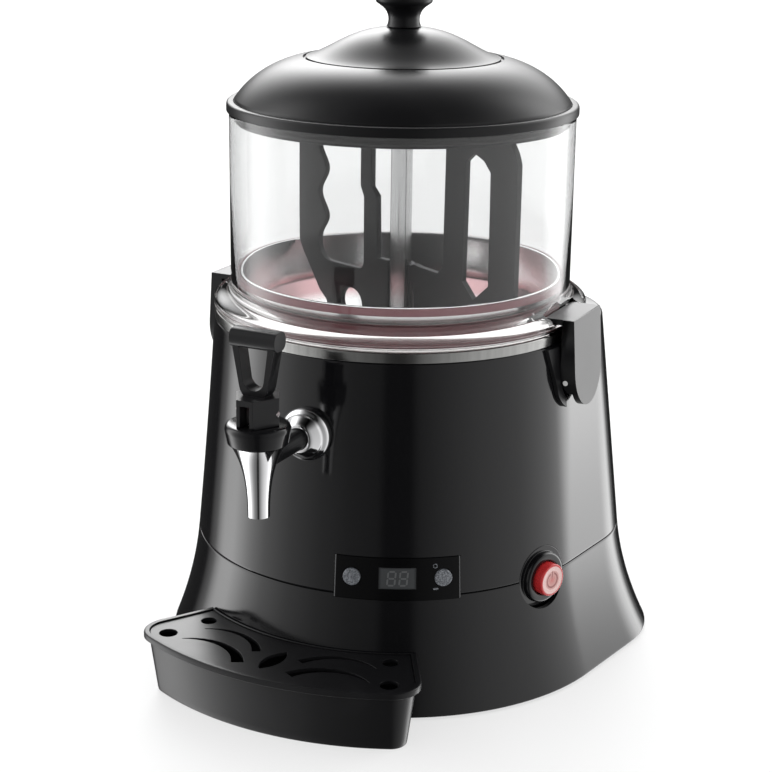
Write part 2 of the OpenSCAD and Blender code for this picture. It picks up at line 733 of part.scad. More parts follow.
module clip_bracket() {
    wing_top = deck_z - 1;
    ear_y = [8, 13.2];
    color("#121213") difference() {
        union() {
            difference() {
                intersection() {
                    along_x(90, 130) polygon(concat(
                        [[-wing_w, wing_top], [wing_w, wing_top]],
                        [for (t = steps(0, -180, 16)) [wing_low_w * cos(t), wing_z + wing_round * sin(t)]]));
                    casing_block(-plate_out);
                }
                // seat behind the cheeks
                difference() {
                    along_x(90, 130) clip_window();
                    casing_block(-gap - seat_t);
                }
                // relief that the clip's tail swings into, open below
                along_x(90, 130) {
                    intersection() {
                        clip_window();
                        translate([-40, 0]) square([80, pin_z]);
                    }
                    translate([-tail_gap_w, 0]) square([2 * tail_gap_w, wing_z - 8]);
                }
            }
            for (s = [0, 1]) mirror([0, s, 0]) translate([0, ear_y[0], 0]) {
                translate([pin_x, 0, pin_z]) rotate([-90, 0, 0])
                    cylinder(h = ear_y[1] - ear_y[0], r = ear_r);
                translate([pin_x - 2.2, 0, pin_z - ear_r]) cube([2.2, ear_y[1] - ear_y[0], 2 * ear_r]);
            }
        }
        casing_block(-gap);
        translate([pin_x, -25, pin_z]) rotate([-90, 0, 0]) cylinder(h = 50, r = clip_pin_r + run);
    }
}

module clip_pin() {
    color("silver") translate([pin_x, 0.2 - clip_half_w, pin_z]) rotate([-90, 0, 0])
        cylinder(h = 2 * clip_half_w - 0.4, r = clip_pin_r);
}

// Leans a piece outwards like the clip's face, about the clip's top edge
module lean_out() {
    translate([clip_x, 0, clip_top_z]) rotate([0, -lean, 0]) translate([-clip_x, 0, -clip_top_z])
        children();
}

// Side view of a clip as (x, z): its cheeks end in a knuckle about the pin
module clip_side() {
    inner = pin_x - knuckle_r;
    low = clip_top_z - clip_h - past;
    polygon(concat(
        [[inner, clip_top_z + past], [clip_x + 8, clip_top_z + past], [clip_x + 8, low], [pin_x + 3.2, low],
            [pin_x + 3.2, pin_z - 7], [pin_x, pin_z - 7]],
        arc([pin_x, pin_z], knuckle_r, 240, 180, 6)));
}

module clip_lever() {
    low = clip_top_z - clip_h;
    deep = 14;
    color("#1a1a1b") difference() {
        union() {
            intersection() {
                lean_out() difference() {
                    along_x(clip_x - deep, clip_x) polygon(clip_outline(clip_half_w, clip_top_z, low));
                    along_x(clip_x - deep - past, clip_x - skin_t)
                        polygon(clip_outline(clip_half_w - cheek_t, clip_top_z - 3, low + skin_t));
                }
                rotate([90, 0, 0]) linear_extrude(60, center = true) clip_side();
            }
            translate([hook_in_x, -clip_half_w, ledge_z + 0.5])
                cube([clip_x - hook_in_x - 0.8, 2 * clip_half_w, clip_top_z - ledge_z - 0.5]);
        }
        // room for the bracket's seat, and for the casing when the clip is open
        casing_block(-seat_t - 2 * gap);
        translate([pin_x, 0, pin_z]) rotate([0, -clip_swing, 0]) translate([-pin_x, 0, -pin_z])
            casing_block(-gap);
        translate([pin_x, -30, pin_z]) rotate([-90, 0, 0]) cylinder(h = 60, r = clip_pin_r + 0.02);
    }
}

// ---- control panel and switch ---------------------------------------------------

panel_proud = 0.5;

module panel_shell(z0, z1, half, inner, outer) {
    at_az(panel_az) rotate([0, 0, -90 - half]) rotate_extrude(angle = 2 * half)
        polygon([[front_r(z0) + inner, z0], [front_r(z0) + outer, z0],
            [front_r(z1) + outer, z1], [front_r(z1) + inner, z1]]);
}

window_half_az = 5;
window_h = 12.6;

module panel_bezel() {
    color("#0b0b0c") difference() {
        panel_shell(panel_z + gap, panel_z + panel_h - gap, panel_half_az - 0.15, -1.1, panel_proud);
        panel_shell(button_z - window_h / 2, button_z + window_h / 2, window_half_az, -3, 3);
        for (s = [-1, 1])
            spoke(panel_az + s * button_az, button_z, casing_r - 5, casing_r + 15, button_r + gap);
    }
}

module display_window() {
    color("#6d6f70") panel_shell(button_z - window_h / 2 + snug, button_z + window_h / 2 - snug,
        window_half_az - 0.05, -1.1, panel_proud - 0.2);
}

module panel_button(side) {
    face = front_r(button_z) + panel_proud + 1;
    color("#a9adb0") {
        spoke(panel_az + side * button_az, button_z, face - 5.6, face, button_r);
        spoke(panel_az + side * button_az, button_z, face - 6.4, face - 5, button_r + 1.2);
    }
}

module control_board() {
    contact = front_r(button_z) + panel_proud + 1 - 6.4 - 1.3;
    color("#1f5c3a") {
        at_az(panel_az) translate([-35, -board_r + snug, button_z - 9]) cube([70, 1.6, 19]);
        for (s = [-1, 1])
            spoke(panel_az + s * button_az, button_z, board_r * 0.99, contact, 2.2);
        at_az(panel_az) translate([-10, -board_r - 5.5, button_z - 5.5]) cube([20, 5.8, 11]);
    }
}

switch_seat = front_r(switch_z) - casing_wall - 0.6;   // radius at which the bezel's dish lies

module switch_bezel() {
    outer = switch_seat + 5.6;
    hole = power_r + gap;
    color("#0f0f10") at_az(switch_az) translate([0, -switch_seat, switch_z]) rotate([90, 0, 0])
        rotate_extrude() polygon([
            [hole, -10], [hole + 1.8, -10], [hole + 1.8, 0], [switch_hole_r - 0.2, 0],
            [switch_hole_r - 0.2, 1.5], [15, 1.5], [15, 4.2], [14, 5.6], [hole + 1, 5.6], [hole, 4.6]]);
}

module switch_nut() {
    color("#202021") at_az(switch_az) translate([0, -switch_seat + snug, switch_z]) rotate([-90, 0, 0])
        difference() {
            cylinder(h = 4, r = 17.5);
            translate([0, 0, -past]) cylinder(h = 4 + 2 * past, r = power_r + gap + 1.8 + run);
        }
}

power_travel = 3;
power_in = switch_seat + 1.5;                // inner end of the red cap

module switch_body() {
    color("#101010") spoke(switch_az, switch_z, switch_seat - 26, power_in - power_travel - snug, power_r);
}

module power_button() {
    out = switch_seat + 10.5;
    color("#c4332f") at_az(switch_az) translate([0, -power_in, switch_z]) rotate([90, 0, 0])
        rotate_extrude() polygon(concat(
            [[0, 0], [power_r, 0]], arc([power_r - 1, out - power_in - 1], 1, 0, 90, 4),
            [[0, out - power_in]]));
}

module power_board() {
    color("#1f5c3a") {
        translate([-38, 14, board_z + snug]) cube([76, 54, 1.6]);
        translate([-28, 22, board_z + 1]) cube([26, 24, 20]);
        translate([8, 24, board_z + 1]) cube([16, 14, 16]);
        for (x = [8, 18, 28]) translate([x, 54, board_z + 1]) cylinder(h = 18, r = 4);
    }
}

// ---- tap ------------------------------------------------------------------------

cup_low_z = tap_z + 10.8;                    // lower edge of the cap ring
cup_top_z = cup_low_z + 11;
chamber_r = 6;
chamber_z = tap_z - 3;
spout_t = 1.2;
spout_line = [[14.8, cup_low_z - 0.6], [9.6, tap_z + 1.5], [6, tap_z - 9.5], [6, spout_tip_z]];
seat_r = 3.2;
block_z = cup_top_z + gap;
block_h = 15.3;
block_depth = 13.7;
pivot_r = 1;                                 // bead under the block that the handle rocks on
tap_pin_z = block_z + 6.2;
tongue_w = 5;
slot_front = 5.4;                            // how far the pin's slot in the stem reaches forwards
stem_r = 2.5;

module on_tap() {
    translate([0, -tap_reach, 0]) children();
}

module tap_body() {
    body_side = [for (t = steps(0, 0.5, 8)) let (p = bezier(spout_line, t)) [p.x - spout_t - snug, p.y]];
    low = body_side[8];
    color("#141415") difference() {
        union() {
            on_tap() rotate_extrude() polygon(concat(
                [[0, cup_low_z + 6], [11.8, cup_low_z + 6], [11.8, cup_low_z - 0.4]],
                body_side, [[0, low.y]]));
            spoke(0, tap_z, outlet_y - 18, casing_r, shank_r);
            spoke(0, tap_z, casing_r - 1, tap_reach, shank_r);
        }
        on_tap() {
            translate([0, 0, chamber_z]) cylinder(h = 40, r = chamber_r);
            translate([0, 0, chamber_z - 20]) cylinder(h = 40, r = seat_r);
        }
        spoke(0, tap_z + 1, outlet_y - 20, tap_reach - 4, 3.6);
    }
}

module tap_rosette() {
    seat = front_r(tap_z);
    color("#dcdcdc") difference() {
        translate([0, -seat + 2.5, tap_z]) rotate([90, 0, 0]) rotate_extrude() polygon(concat(
            [[shank_r + snug, 0], [15.3, 0]],
            arc([13.3, 4.5], 2, 0, 90, 5), [[12.7, 6.5]],
            arc([7.6, 7.5], 5, 0, 80, 7), [[shank_r + snug, 12.5]]));
        // the casing's conical front, which the rosette sits against
        rotate_extrude() polygon([[80, tap_z - 20], [front_r(tap_z - 20) + snug, tap_z - 20],
            [front_r(tap_z + 20) + snug, tap_z + 20], [80, tap_z + 20]]);
    }
}

module tap_washer() {
    color("#c8606a") at_az(0) translate([0, -outlet_y - snug, tap_z]) rotate([90, 0, 0])
        difference() {
            cylinder(h = 2.5, r = outlet_r);
            translate([0, 0, -past]) cylinder(h = 5, r = shank_r + snug);
        }
}

module tap_nut() {
    color("#c7b37a") translate([0, -outlet_y - 2.5 - 2 * snug, tap_z]) rotate([90, 0, 0])
        difference() {
            cylinder(h = 5.5, r = 10.4, $fn = 6);
            translate([0, 0, -past]) cylinder(h = 8, r = shank_r + run);
        }
}

module tap_cap() {
    color("#151516") on_tap() rotate_extrude() polygon([
        [11.9, cup_low_z], [16.3, cup_low_z], [17.9, cup_top_z - 2.4], [16.5, cup_top_z],
        [stem_r + gap, cup_top_z], [stem_r + gap, cup_top_z - 3], [11.9, cup_top_z - 3]]);
}

module tap_spout() {
    outside = curve(spout_line, 20);
    color("#d8d8d8") difference() {
        on_tap() rotate_extrude() polygon(concat(outside,
            [for (i = [20:-1:0]) [outside[i].x - spout_t, outside[i].y]]));
        spoke(0, tap_z, tap_reach - 30, tap_reach - 2, shank_r + snug);
    }
}

plunger_top_z = chamber_z + 5.5;

module tap_plunger() {
    color("#7a7a78") on_tap() difference() {
        rotate_extrude() polygon([[0, chamber_z + snug], [4, chamber_z + snug],
            [5.2, chamber_z + 1.4], [5.2, plunger_top_z], [0, plunger_top_z]]);
        translate([0, 0, chamber_z + 2]) cylinder(h = 10, r = stem_r + run);
    }
}

// Points of a round wire along a helix, for the tap's closing spring
spring_turns = 6;
spring_r = 4.4;
wire_r = 0.45;
spring_sides = 6;
spring_steps = 10;
spring_low_z = plunger_top_z + wire_r + snug;
spring_high_z = cup_top_z - 3 - wire_r - snug;

function spring_ring(i) = let (
    n = spring_turns * spring_steps, a = 360 * i / spring_steps,
    z = spring_low_z + (spring_high_z - spring_low_z) * i / n)
    [for (k = [0:spring_sides - 1]) let (b = 360 * k / spring_sides, r = spring_r + wire_r * cos(b))
        [r * cos(a), r * sin(a), z + wire_r * sin(b)]];

module tap_spring() {
    n = spring_turns * spring_steps;
    s = spring_sides;
    color("silver") on_tap() polyhedron(
        points = [for (i = [0:n]) each spring_ring(i)],
        faces = concat(
            [for (i = [0:n - 1], k = [0:s - 1]) let (a = i * s + k, b = i * s + (k + 1) % s)
                each [[a, b, b + s], [a, b + s, a + s]]],
            [[for (k = [s - 1:-1:0]) k], [for (k = [0:s - 1]) n * s + k]]));
}

module tap_stem() {
    tongue_low = cup_top_z + 1;
    tongue_high = tap_pin_z + 4;
    color("silver") on_tap() difference() {
        union() {
            translate([0, 0, chamber_z + 2 + snug]) cylinder(h = tongue_low + 0.5 - chamber_z - 2 - snug, r = stem_r);
            translate([-tongue_w / 2, -7.5, tongue_low]) cube([tongue_w, 11.5, tongue_high - tongue_low]);
        }
        // the pin slides forwards in this slot as the handle rocks
        translate([-tongue_w, -slot_front, tap_pin_z - pin_d / 2 - 0.45])
            cube([2 * tongue_w, slot_front + pin_d / 2 + 0.4, pin_d + 0.9]);
    }
}

// The fork block's outline: a hexagon, narrow at the front and the back
block_outline = [[5, -block_depth], [13, 0], [5, block_depth], [-5, block_depth], [-13, 0], [-5, -block_depth]];
bar_h = 10.3;
bar_d = 12;
bar_round = 4.4;
bar_z = block_z + block_h + 25.2;
loop_t = 9.3;

// A loop that widens from a round lower end up to the bar
module loop_outline(top_w, low_r, low_z) {
    hull() {
        translate([0, low_z]) circle(r = low_r, $fn = 32);
        translate([-top_w, bar_z]) square([2 * top_w, bar_h / 2]);
    }
}

// The block with its lower front edge turned into a round bead
module handle_block() {
    difference() {
        translate([0, 0, block_z]) linear_extrude(block_h) polygon(block_outline);
        translate([-10, -block_depth - past, block_z - past]) cube([20, pivot_r + past, pivot_r + past]);
    }
    translate([-5, pivot_r - block_depth, block_z + pivot_r]) rotate([0, 90, 0]) cylinder(h = 10, r = pivot_r);
}

module tap_handle() {
    top = block_z + block_h;
    color("#161617") on_tap() difference() {
        union() {
            difference() {
                handle_block();
                // fork slot, open to the front, that clears the stem's tongue as the handle rocks
                translate([-tongue_w / 2 - 0.4, -20, block_z - past])
                    cube([tongue_w + 0.8, 20 + 9.7, 12.2 + past]);
            }
            rotate([90, 0, 0]) translate([0, 0, -loop_t / 2]) linear_extrude(loop_t) difference() {
                loop_outline(12.4, 8.7, top + 6);
                loop_outline(8.6, 6.3, top + 9.3);
                translate([-20, top - 20]) square([40, 20]);
            }
            translate([0, 0, bar_z + bar_h / 2]) rotate([90, 0, 90]) translate([0, 0, -bar_w / 2])
                linear_extrude(bar_w) polygon(rounded(bar_d / 2, bar_h / 2, bar_round));
        }
        translate([-20, 0, tap_pin_z]) rotate([0, 90, 0]) cylinder(h = 40, r = pin_d / 2 + 0.02);
    }
}

module tap_pin() {
    color("silver") on_tap() translate([-12.6, 0, tap_pin_z]) rotate([0, 90, 0])
        cylinder(h = 25.2, r = pin_d / 2);
}

// ---- drip tray ------------------------------------------------------------------

tray_front_r = front_r(0) + tray_out;
tray_back_r = front_r(tray_h) + 1.2;         // where the rim meets the skirt
tray_mid_r = (tray_back_r + tray_front_r) / 2;
tray_corner = 14;

function at_polar(r, az) = r * [sin(az), -cos(az)];

// The tray's plan, grown by d: a sector about the tank's axis with round corners
module tray_plan(d) {
    far = 2 * tray_front_r;
    offset(r = tray_corner + d, $fn = 48) offset(delta = -tray_corner) intersection() {
        circle(r = tray_front_r, $fn = 180);
        polygon([[0, 0], at_polar(far, -tray_half_az), at_polar(far, tray_half_az)]);
    }
}

module tray_block(z0, z1, d0, d1) {
    hull() {
        translate([0, 0, z0]) linear_extrude(0.01) tray_plan(d0);
        translate([0, 0, z1 - 0.01]) linear_extrude(0.01) tray_plan(d1);
    }
}

tray_draft = 4.9;
grate_z = tray_h - 3;

// The skirt's flare, grown by d, that hollows the tray's back
module tray_back(d) {
    low_r = front_r(0) + 1.2 + d;
    translate([0, 0, -0.01]) cylinder(h = tray_h + 0.02, r1 = low_r, r2 = tray_back_r + d, $fn = 180);
}

module drip_tray() {
    rim = 2.6;
    rim_h = 3.6;
    color("#1a1a1b") difference() {
        union() {
            difference() {
                tray_block(0, tray_h, -tray_draft, 0);
                tray_back(0);
            }
            difference() {
                translate([0, 0, tray_h - rim_h]) linear_extrude(rim_h) tray_plan(rim);
                translate([0, 0, tray_h - rim_h - past]) cylinder(h = rim_h + 2 * past, r = tray_back_r, $fn = 180);
            }
        }
        difference() {
            tray_block(tray_wall, tray_h + past, -tray_draft - tray_wall, -tray_wall);
            tray_back(tray_wall);
            cylinder(h = tray_h + 2 * past, r = tray_back_r + tray_wall, $fn = 180);
        }
        // seat for the grate
        difference() {
            translate([0, 0, grate_z]) linear_extrude(tray_h) tray_plan(-0.8);
            translate([0, 0, grate_z - past]) cylinder(h = tray_h, r = tray_back_r + 0.8, $fn = 180);
        }
    }
}

// A crescent: an arc whose width grows from a point to w
function crescent(c, r, t0, t1, w) = concat(
    [for (i = [0:12]) let (t = t0 + (t1 - t0) * i / 12, q = w / 2 * pow(i / 12, 0.8) + 0.15)
        c + (r + q) * [cos(t), sin(t)]],
    [for (i = [12:-1:0]) let (t = t0 + (t1 - t0) * i / 12, q = w / 2 * pow(i / 12, 0.8) + 0.15)
        c + (r - q) * [cos(t), sin(t)]]);

module drip_grate() {
    hole_az = 25.1;
    color("#222223") difference() {
        translate([0, 0, grate_z + snug]) linear_extrude(grate_t) difference() {
            tray_plan(-0.8 - gap);
            circle(r = tray_back_r + 0.8 + gap, $fn = 180);
            for (s = [0, 1]) mirror([s, 0]) {
                polygon(crescent(at_polar(tray_mid_r + 14.5, 14), 30, 60, 152, 5));
                polygon(crescent(at_polar(tray_mid_r + 32.2, 13.6), 31, 58, 152, 7));
            }
            // the leaf in the middle: where two circles overlap
            translate([0, -tray_mid_r - 1]) rotate(-8) intersection() {
                translate([-13, 0]) circle(r = 18.2);
                translate([13, 0]) circle(r = 18.2);
            }
        }
        for (s = [-1, 1]) {
            translate(at_polar(tray_mid_r + 14, s * hole_az)) cylinder(h = 60, r = 5.3);
            translate(at_polar(tray_mid_r - 13.7, s * hole_az)) cylinder(h = 60, r = 4.6);
        }
    }
}

// ---- the pieces -----------------------------------------------------------------

upper_casing();
lower_skirt();
base_plate();
base_screws();
rubber_feet();
foot_screws();
power_inlet();
steel_band();
heating_bowl();
centre_tube();
lower_gasket();
upper_gasket();
heater_ring();
thermostat();
gear_motor();
motor_bracket();
shaft_bushes();
drive_coupling();
drive_shaft();
agitator_spine();
agitator_cap();
paddle_left();
paddle_right();
tank();
lid();
lid_seal();
lid_knob();
knob_screw();
mirror([1, 0, 0]) clip_bracket();  // clip_bracket_left
clip_bracket();  // clip_bracket_right
mirror([1, 0, 0]) clip_pin();  // clip_pin_left
clip_pin();  // clip_pin_right
mirror([1, 0, 0]) clip_lever();  // clip_left
clip_lever();  // clip_right
panel_bezel();
display_window();
panel_button(-1);  // button_left
panel_button(1);  // button_right
control_board();
switch_bezel();
switch_nut();
switch_body();
power_button();
power_board();
tap_rosette();
tap_body();
tap_washer();
tap_nut();
tap_cap();
tap_spout();
tap_plunger();
tap_spring();
tap_stem();
tap_handle();
tap_pin();
drip_tray();
drip_grate();
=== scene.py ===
"""Hot chocolate dispenser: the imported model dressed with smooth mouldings, turned metal and materials."""
import json
import math

import bmesh
import bpy
import numpy as np
from mathutils import Matrix


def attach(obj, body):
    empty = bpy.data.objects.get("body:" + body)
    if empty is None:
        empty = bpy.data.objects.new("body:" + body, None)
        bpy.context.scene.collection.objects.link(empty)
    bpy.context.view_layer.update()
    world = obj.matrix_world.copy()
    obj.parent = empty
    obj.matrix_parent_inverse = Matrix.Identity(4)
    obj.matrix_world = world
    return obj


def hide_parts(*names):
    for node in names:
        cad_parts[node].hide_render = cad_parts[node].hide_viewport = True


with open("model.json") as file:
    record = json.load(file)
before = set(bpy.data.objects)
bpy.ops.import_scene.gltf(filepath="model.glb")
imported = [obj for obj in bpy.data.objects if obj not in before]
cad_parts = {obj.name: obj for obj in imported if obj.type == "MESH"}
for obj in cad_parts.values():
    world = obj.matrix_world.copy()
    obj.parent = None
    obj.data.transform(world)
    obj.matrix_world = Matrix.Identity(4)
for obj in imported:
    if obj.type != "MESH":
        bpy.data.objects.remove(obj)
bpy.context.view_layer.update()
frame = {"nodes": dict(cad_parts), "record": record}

MM = 0.001
TAU = 2 * math.pi
SHARP = 32                     # degrees between two faces from which their edge shows
MERGE = 1e-6                   # metres within which two vertices become one
SUBPARTS = frame["record"]["subparts"]
SLOT_OF = {part["node"]: part["material_slot"] for part in SUBPARTS}
BODY_OF = {node: body for body, nodes in frame["record"]["behaviour"]["bodies"].items() for node in nodes}

# ---- sizes of the machine, in millimetres, as in the part's source -----------------------

GAP = 0.1                      # clearance between pieces that meet
CASING_R = 111.0
DECK_Z = 200.8
DECK_T = 2.5
DECK_HOLE_R = 100.0
SEAM_Z = 68.0
CASING_FLARE = 11.3
SKIRT_FLARE = 17.2
SIDE_FLARE = (16.0, 20.0)
BACK_FLARE = 8.0
CORNER_R = 75.0
FRONT_STEPS = 96               # steps along the half outline's front, corner and straight sides
CORNER_STEPS = 36
SIDE_STEPS = 14
WALL = 2.5
SKIRT_LOW = 1.5
LIP_W = 12.0                   # the skirt's inward lip, which carries the base plate
LIP_TOP = 4.2
LAP_H = 4.2                    # rabbet at the seam
LAP_IN = 1.3
VENT_COUNT = 11
VENT_PITCH = 6.0
VENT_W = 3.0
VENT_H = 46.0
VENT_Z = 138.0
INLET_W = 28.0
INLET_H = 20.0
INLET_Z = 100.0

BAND_TOP = DECK_Z + 6.1
BAND_IN = 98.2
FLANGE_Z = BAND_TOP + GAP
TANK_R = CASING_R - 10
TANK_IN = TANK_R - 2.5
BOWL_R = TANK_IN - 2.5
BOWL_T = 1.5
BOWL_FLOOR = 152.0
BOWL_FLOOR_R = 74.0
BOWL_RIM = FLANGE_Z + 21.5
TANK_FOOT = FLANGE_Z + BOWL_T + 1.2
SKIRT_EDGE = BAND_TOP + 0.5    # lower edge of the tank's flange
FOOT_TOP = SKIRT_EDGE + 15.6   # where the flange's fillet meets the cylinder
LEDGE_Z = TANK_FOOT + 2.3
TANK_TOP = 322.5
CLIP_NOTCH = 22.5              # half width of the landing under each clip

LID_R = TANK_R + 1.5
LID_Z = TANK_TOP + GAP
LID_WALL = 2.6
BEAD_W = 4.5
GROOVE_D = 1.2
STEP_R = 57.0
NECK_R = 9.0
RIM_Z = LID_Z + 5.6
STEP_Z = RIM_Z + 24.8
APEX_Z = RIM_Z + 42
KNOB_R = 17.0
KNOB_H = 29.75

TAP_REACH = 168.0
TAP_Z = 157.5
CUP_LOW = TAP_Z + 10.8
CUP_TOP = CUP_LOW + 11
CUP_R = 17.9
SPOUT_TIP = 127.0

PANEL_AZ = 26.5
PANEL_HALF = 17.0
PANEL_Z = 66.0
PANEL_H = 25.0
PANEL_DEPTH = 1.2
PANEL_PROUD = 0.5
WINDOW_HALF = 5.0
WINDOW_HALF_H = 6.3
WINDOW_LIFT = 0.3
BUTTON_AZ = 12.2
BUTTON_Z = PANEL_Z + PANEL_H * 0.52
SWITCH_AZ = 70.0
SWITCH_Z = 67.5
SWITCH_HOLE_R = 18.5
POWER_R = 9.6

TRAY_H = 37.0
TRAY_HALF = math.radians(30.4)
TRAY_OUT = 37.9
TRAY_CORNER = 14.0
TRAY_DRAFT = 4.9
TRAY_WALL = 2.0
TRAY_RIM = 2.6
TRAY_RIM_H = 3.6
TRAY_STANDOFF = 1.2
GRATE_T = 3.0
GRATE_SEAT = 0.8


# ---- outline of the casing ---------------------------------------------------------------

def casing_plan(z, inset=0.0):
    """One level of the casing, as points (x, y): a front circle of radius R(z) about the origin,
    two rear corner circles of radius 75 about (+-cx(z), cy(z)), and the lines that touch both.
    Below the deck R, cx and cy grow with the share c of the way to the seam, as 0.85 c + 0.15 c^2
    for R, and below the seam with 0.385 u + 0.615 u^2 of the way u to the counter."""
    c = min(1.0, (DECK_Z - z) / (DECK_Z - SEAM_Z))
    u = max(0.0, (SEAM_Z - z) / SEAM_Z)
    s = 0.385 * u + 0.615 * u * u
    r = CASING_R + CASING_FLARE * (0.85 * c + 0.15 * c * c) + SKIRT_FLARE * s
    base = CASING_R - CORNER_R
    centre = np.array([base + SIDE_FLARE[0] * c + SIDE_FLARE[1] * s, base + c + BACK_FLARE * s])
    side = math.atan2(centre[1], centre[0]) - math.acos((r - CORNER_R) / np.linalg.norm(centre))
    t = np.linspace(-math.pi / 2, side, FRONT_STEPS + 1)
    arc_front = (r - inset) * np.stack([np.cos(t), np.sin(t)], -1)
    t = np.linspace(side, math.pi / 2, CORNER_STEPS + 1)
    arc_corner = centre + (CORNER_R - inset) * np.stack([np.cos(t), np.sin(t)], -1)
    w = np.linspace(0, 1, SIDE_STEPS + 1)[1:-1, None]
    flank = arc_front[-1] * (1 - w) + arc_corner[0] * w
    back = arc_corner[-1] * (1 - w) + arc_corner[-1] * [-1, 1] * w
    half = np.concatenate([arc_front, flank, arc_corner, back[:SIDE_STEPS // 2]])
    return np.concatenate([half, half[-1:0:-1] * [-1, 1]])


def front_r(z):
    """Radius of the casing's round front at a height."""
    return -casing_plan(z)[0, 1]


def polar(r, az):
    """Points (r sin az, -r cos az): the azimuth is 0 at the tap and grows towards +X."""
    return np.stack([r * np.sin(az), -r * np.cos(az)], -1)


SWITCH_SEAT = front_r(SWITCH_Z) - WALL - 0.6    # how far out the switch's dish lies
POWER_FACE = SWITCH_SEAT + 10.5                 # how far out the red cap's face lies


# ---- shader tools ------------------------------------------------------------------------

def operator(operation):
    """A method of Value that adds one Math node."""
    def method(self, *others):
        sockets = dict(enumerate((self, *others)))
        return self.nodes.add("ShaderNodeMath", {"operation": operation}, sockets)
    return method


class Value:
    """A shader socket that takes part in Python sums."""

    def __init__(self, nodes, socket):
        self.nodes = nodes
        self.socket = socket

    __add__ = __radd__ = operator("ADD")
    __mul__ = __rmul__ = operator("MULTIPLY")
    __sub__ = operator("SUBTRACT")
    __truediv__ = operator("DIVIDE")
    __pow__ = operator("POWER")
    __lt__ = operator("LESS_THAN")
    __gt__ = operator("GREATER_THAN")
    __abs__ = operator("ABSOLUTE")
    highest = operator("MAXIMUM")
    angle_from = operator("ARCTAN2")

    def __neg__(self):
        return self * -1

    def __rsub__(self, other):
        return -self + other

    def ramp(self, low, high):
        """0 below low, 1 above high, smooth between them."""
        return self.nodes.add("ShaderNodeMapRange", {"interpolation_type": "SMOOTHSTEP"},
                              {"Value": self, "From Min": low, "From Max": high})


class Nodes:
    """A node tree, with one method that adds any node."""

    def __init__(self, tree):
        self.tree = tree

    def add(self, kind, settings, inputs, output=0):
        """A node of a kind, with its settings, and values or links for its sockets."""
        node = self.tree.nodes.new(kind)
        for key, value in settings.items():
            if key == "stops":
                self.set_stops(node.color_ramp.elements, value)
            else:
                setattr(node, key, value)
        for key, value in inputs.items():
            if isinstance(value, Value):
                self.tree.links.new(value.socket, node.inputs[key])
            else:
                node.inputs[key].default_value = value
        return Value(self, node.outputs[output])

    @staticmethod
    def set_stops(elements, stops):
        """A ramp's stops, as (place, grey)."""
        while len(elements) < len(stops):
            elements.new(1.0)
        for element, (place, grey) in zip(elements, stops):
            element.position = place
            element.color = (grey, grey, grey, 1)

    def axes(self, point):
        """x, y and z as values, in metres."""
        split = self.tree.nodes.new("ShaderNodeSeparateXYZ")
        self.tree.links.new(point.socket, split.inputs[0])
        return [Value(self, output) for output in split.outputs]

    @staticmethod
    def around(x, y):
        """Azimuth about the upright axis, in radians, 0 at the tap and growing towards +X."""
        return x.angle_from(-y)

    @staticmethod
    def length(x, y):
        """Distance from the upright axis."""
        return (x * x + y * y) ** 0.5


class Finish(Nodes):
    """One material: a Principled shader and what drives it."""

    def __init__(self, name, color, roughness, **fixed):
        self.data = bpy.data.materials.new(name)
        self.data.use_nodes = True
        super().__init__(self.data.node_tree)
        self.shader = self.tree.nodes["Principled BSDF"]
        self.shader.inputs["Base Color"].default_value = (*color, 1)
        self.shader.inputs["Roughness"].default_value = roughness
        for socket, value in fixed.items():
            self.shader.inputs[socket.replace("_", " ")].default_value = value
        self.point = self.add("ShaderNodeTexCoord", {}, {}, "Object")

    def drive(self, socket, value):
        """Links what varies over the surface to one of the shader's sockets."""
        self.tree.links.new(value.socket, self.shader.inputs[socket])

    def stretched(self, factors):
        """The object's coordinates, multiplied axis by axis."""
        return self.add("ShaderNodeVectorMath", {"operation": "MULTIPLY"}, {0: self.point, 1: factors})

    def joined(self, x, y, z):
        """A vector from three values."""
        return self.add("ShaderNodeCombineXYZ", {}, {0: x, 1: y, 2: z})

    def noise(self, scale, detail=2.0, point=None):
        """Clouds between 0 and 1 over the object's coordinates, or over another vector."""
        return self.add("ShaderNodeTexNoise", {},
                        {"Vector": point or self.point, "Scale": scale, "Detail": detail})

    def mix(self, factor, first, second):
        """A colour between two colours."""
        node = self.tree.nodes.new("ShaderNodeMix")
        node.data_type = "RGBA"
        for socket, value in ((node.inputs[0], factor), (node.inputs[6], first), (node.inputs[7], second)):
            if isinstance(value, Value):
                self.tree.links.new(value.socket, socket)
            else:
                socket.default_value = (*value, 1) if isinstance(value, tuple) else value
        return Value(self, node.outputs[2])

    def bump(self, height, distance, strength):
        """A relief over the whole surface, distance metres deep."""
        relief = {"Height": height, "Distance": distance, "Strength": strength}
        self.drive("Normal", self.add("ShaderNodeBump", {}, relief))


def scaled(color, factor, offset=0.0):
    """A colour made darker or lighter channel by channel."""
    return tuple(min(1, channel * factor + offset) for channel in color)


# ---- materials ---------------------------------------------------------------------------

def moulded_gloss(name, color, roughness):
    """High-gloss moulded plastic: a faint ripple, fine dust and hairline rubs."""
    f = Finish(name, color, roughness, Specular_IOR_Level=0.5)
    cloud = f.noise(9, 3)
    dust = f.noise(900, 2).ramp(0.6, 0.75)
    rubs = f.noise(60, 4, f.stretched((1, 1, 12))).ramp(0.45, 0.8)
    f.drive("Roughness", roughness - 0.02 + cloud * 0.05 + dust * 0.06 + rubs * 0.03)
    f.drive("Base Color", f.mix(dust * 0.2, color, scaled(color, 1, 0.012)))
    f.bump(f.noise(14, 1), 0.00006, 0.35)
    return f.data


def near_cap(f):
    """1 on the tap's cap ring, which is moulded glossier than the rest, else 0."""
    x, y, z = f.axes(f.point)
    inside = f.length(x, y + TAP_REACH * MM) < (CUP_R + 0.5) * MM
    return inside * (z > (CUP_LOW - GAP) * MM) * (z < (CUP_TOP + GAP / 2) * MM)


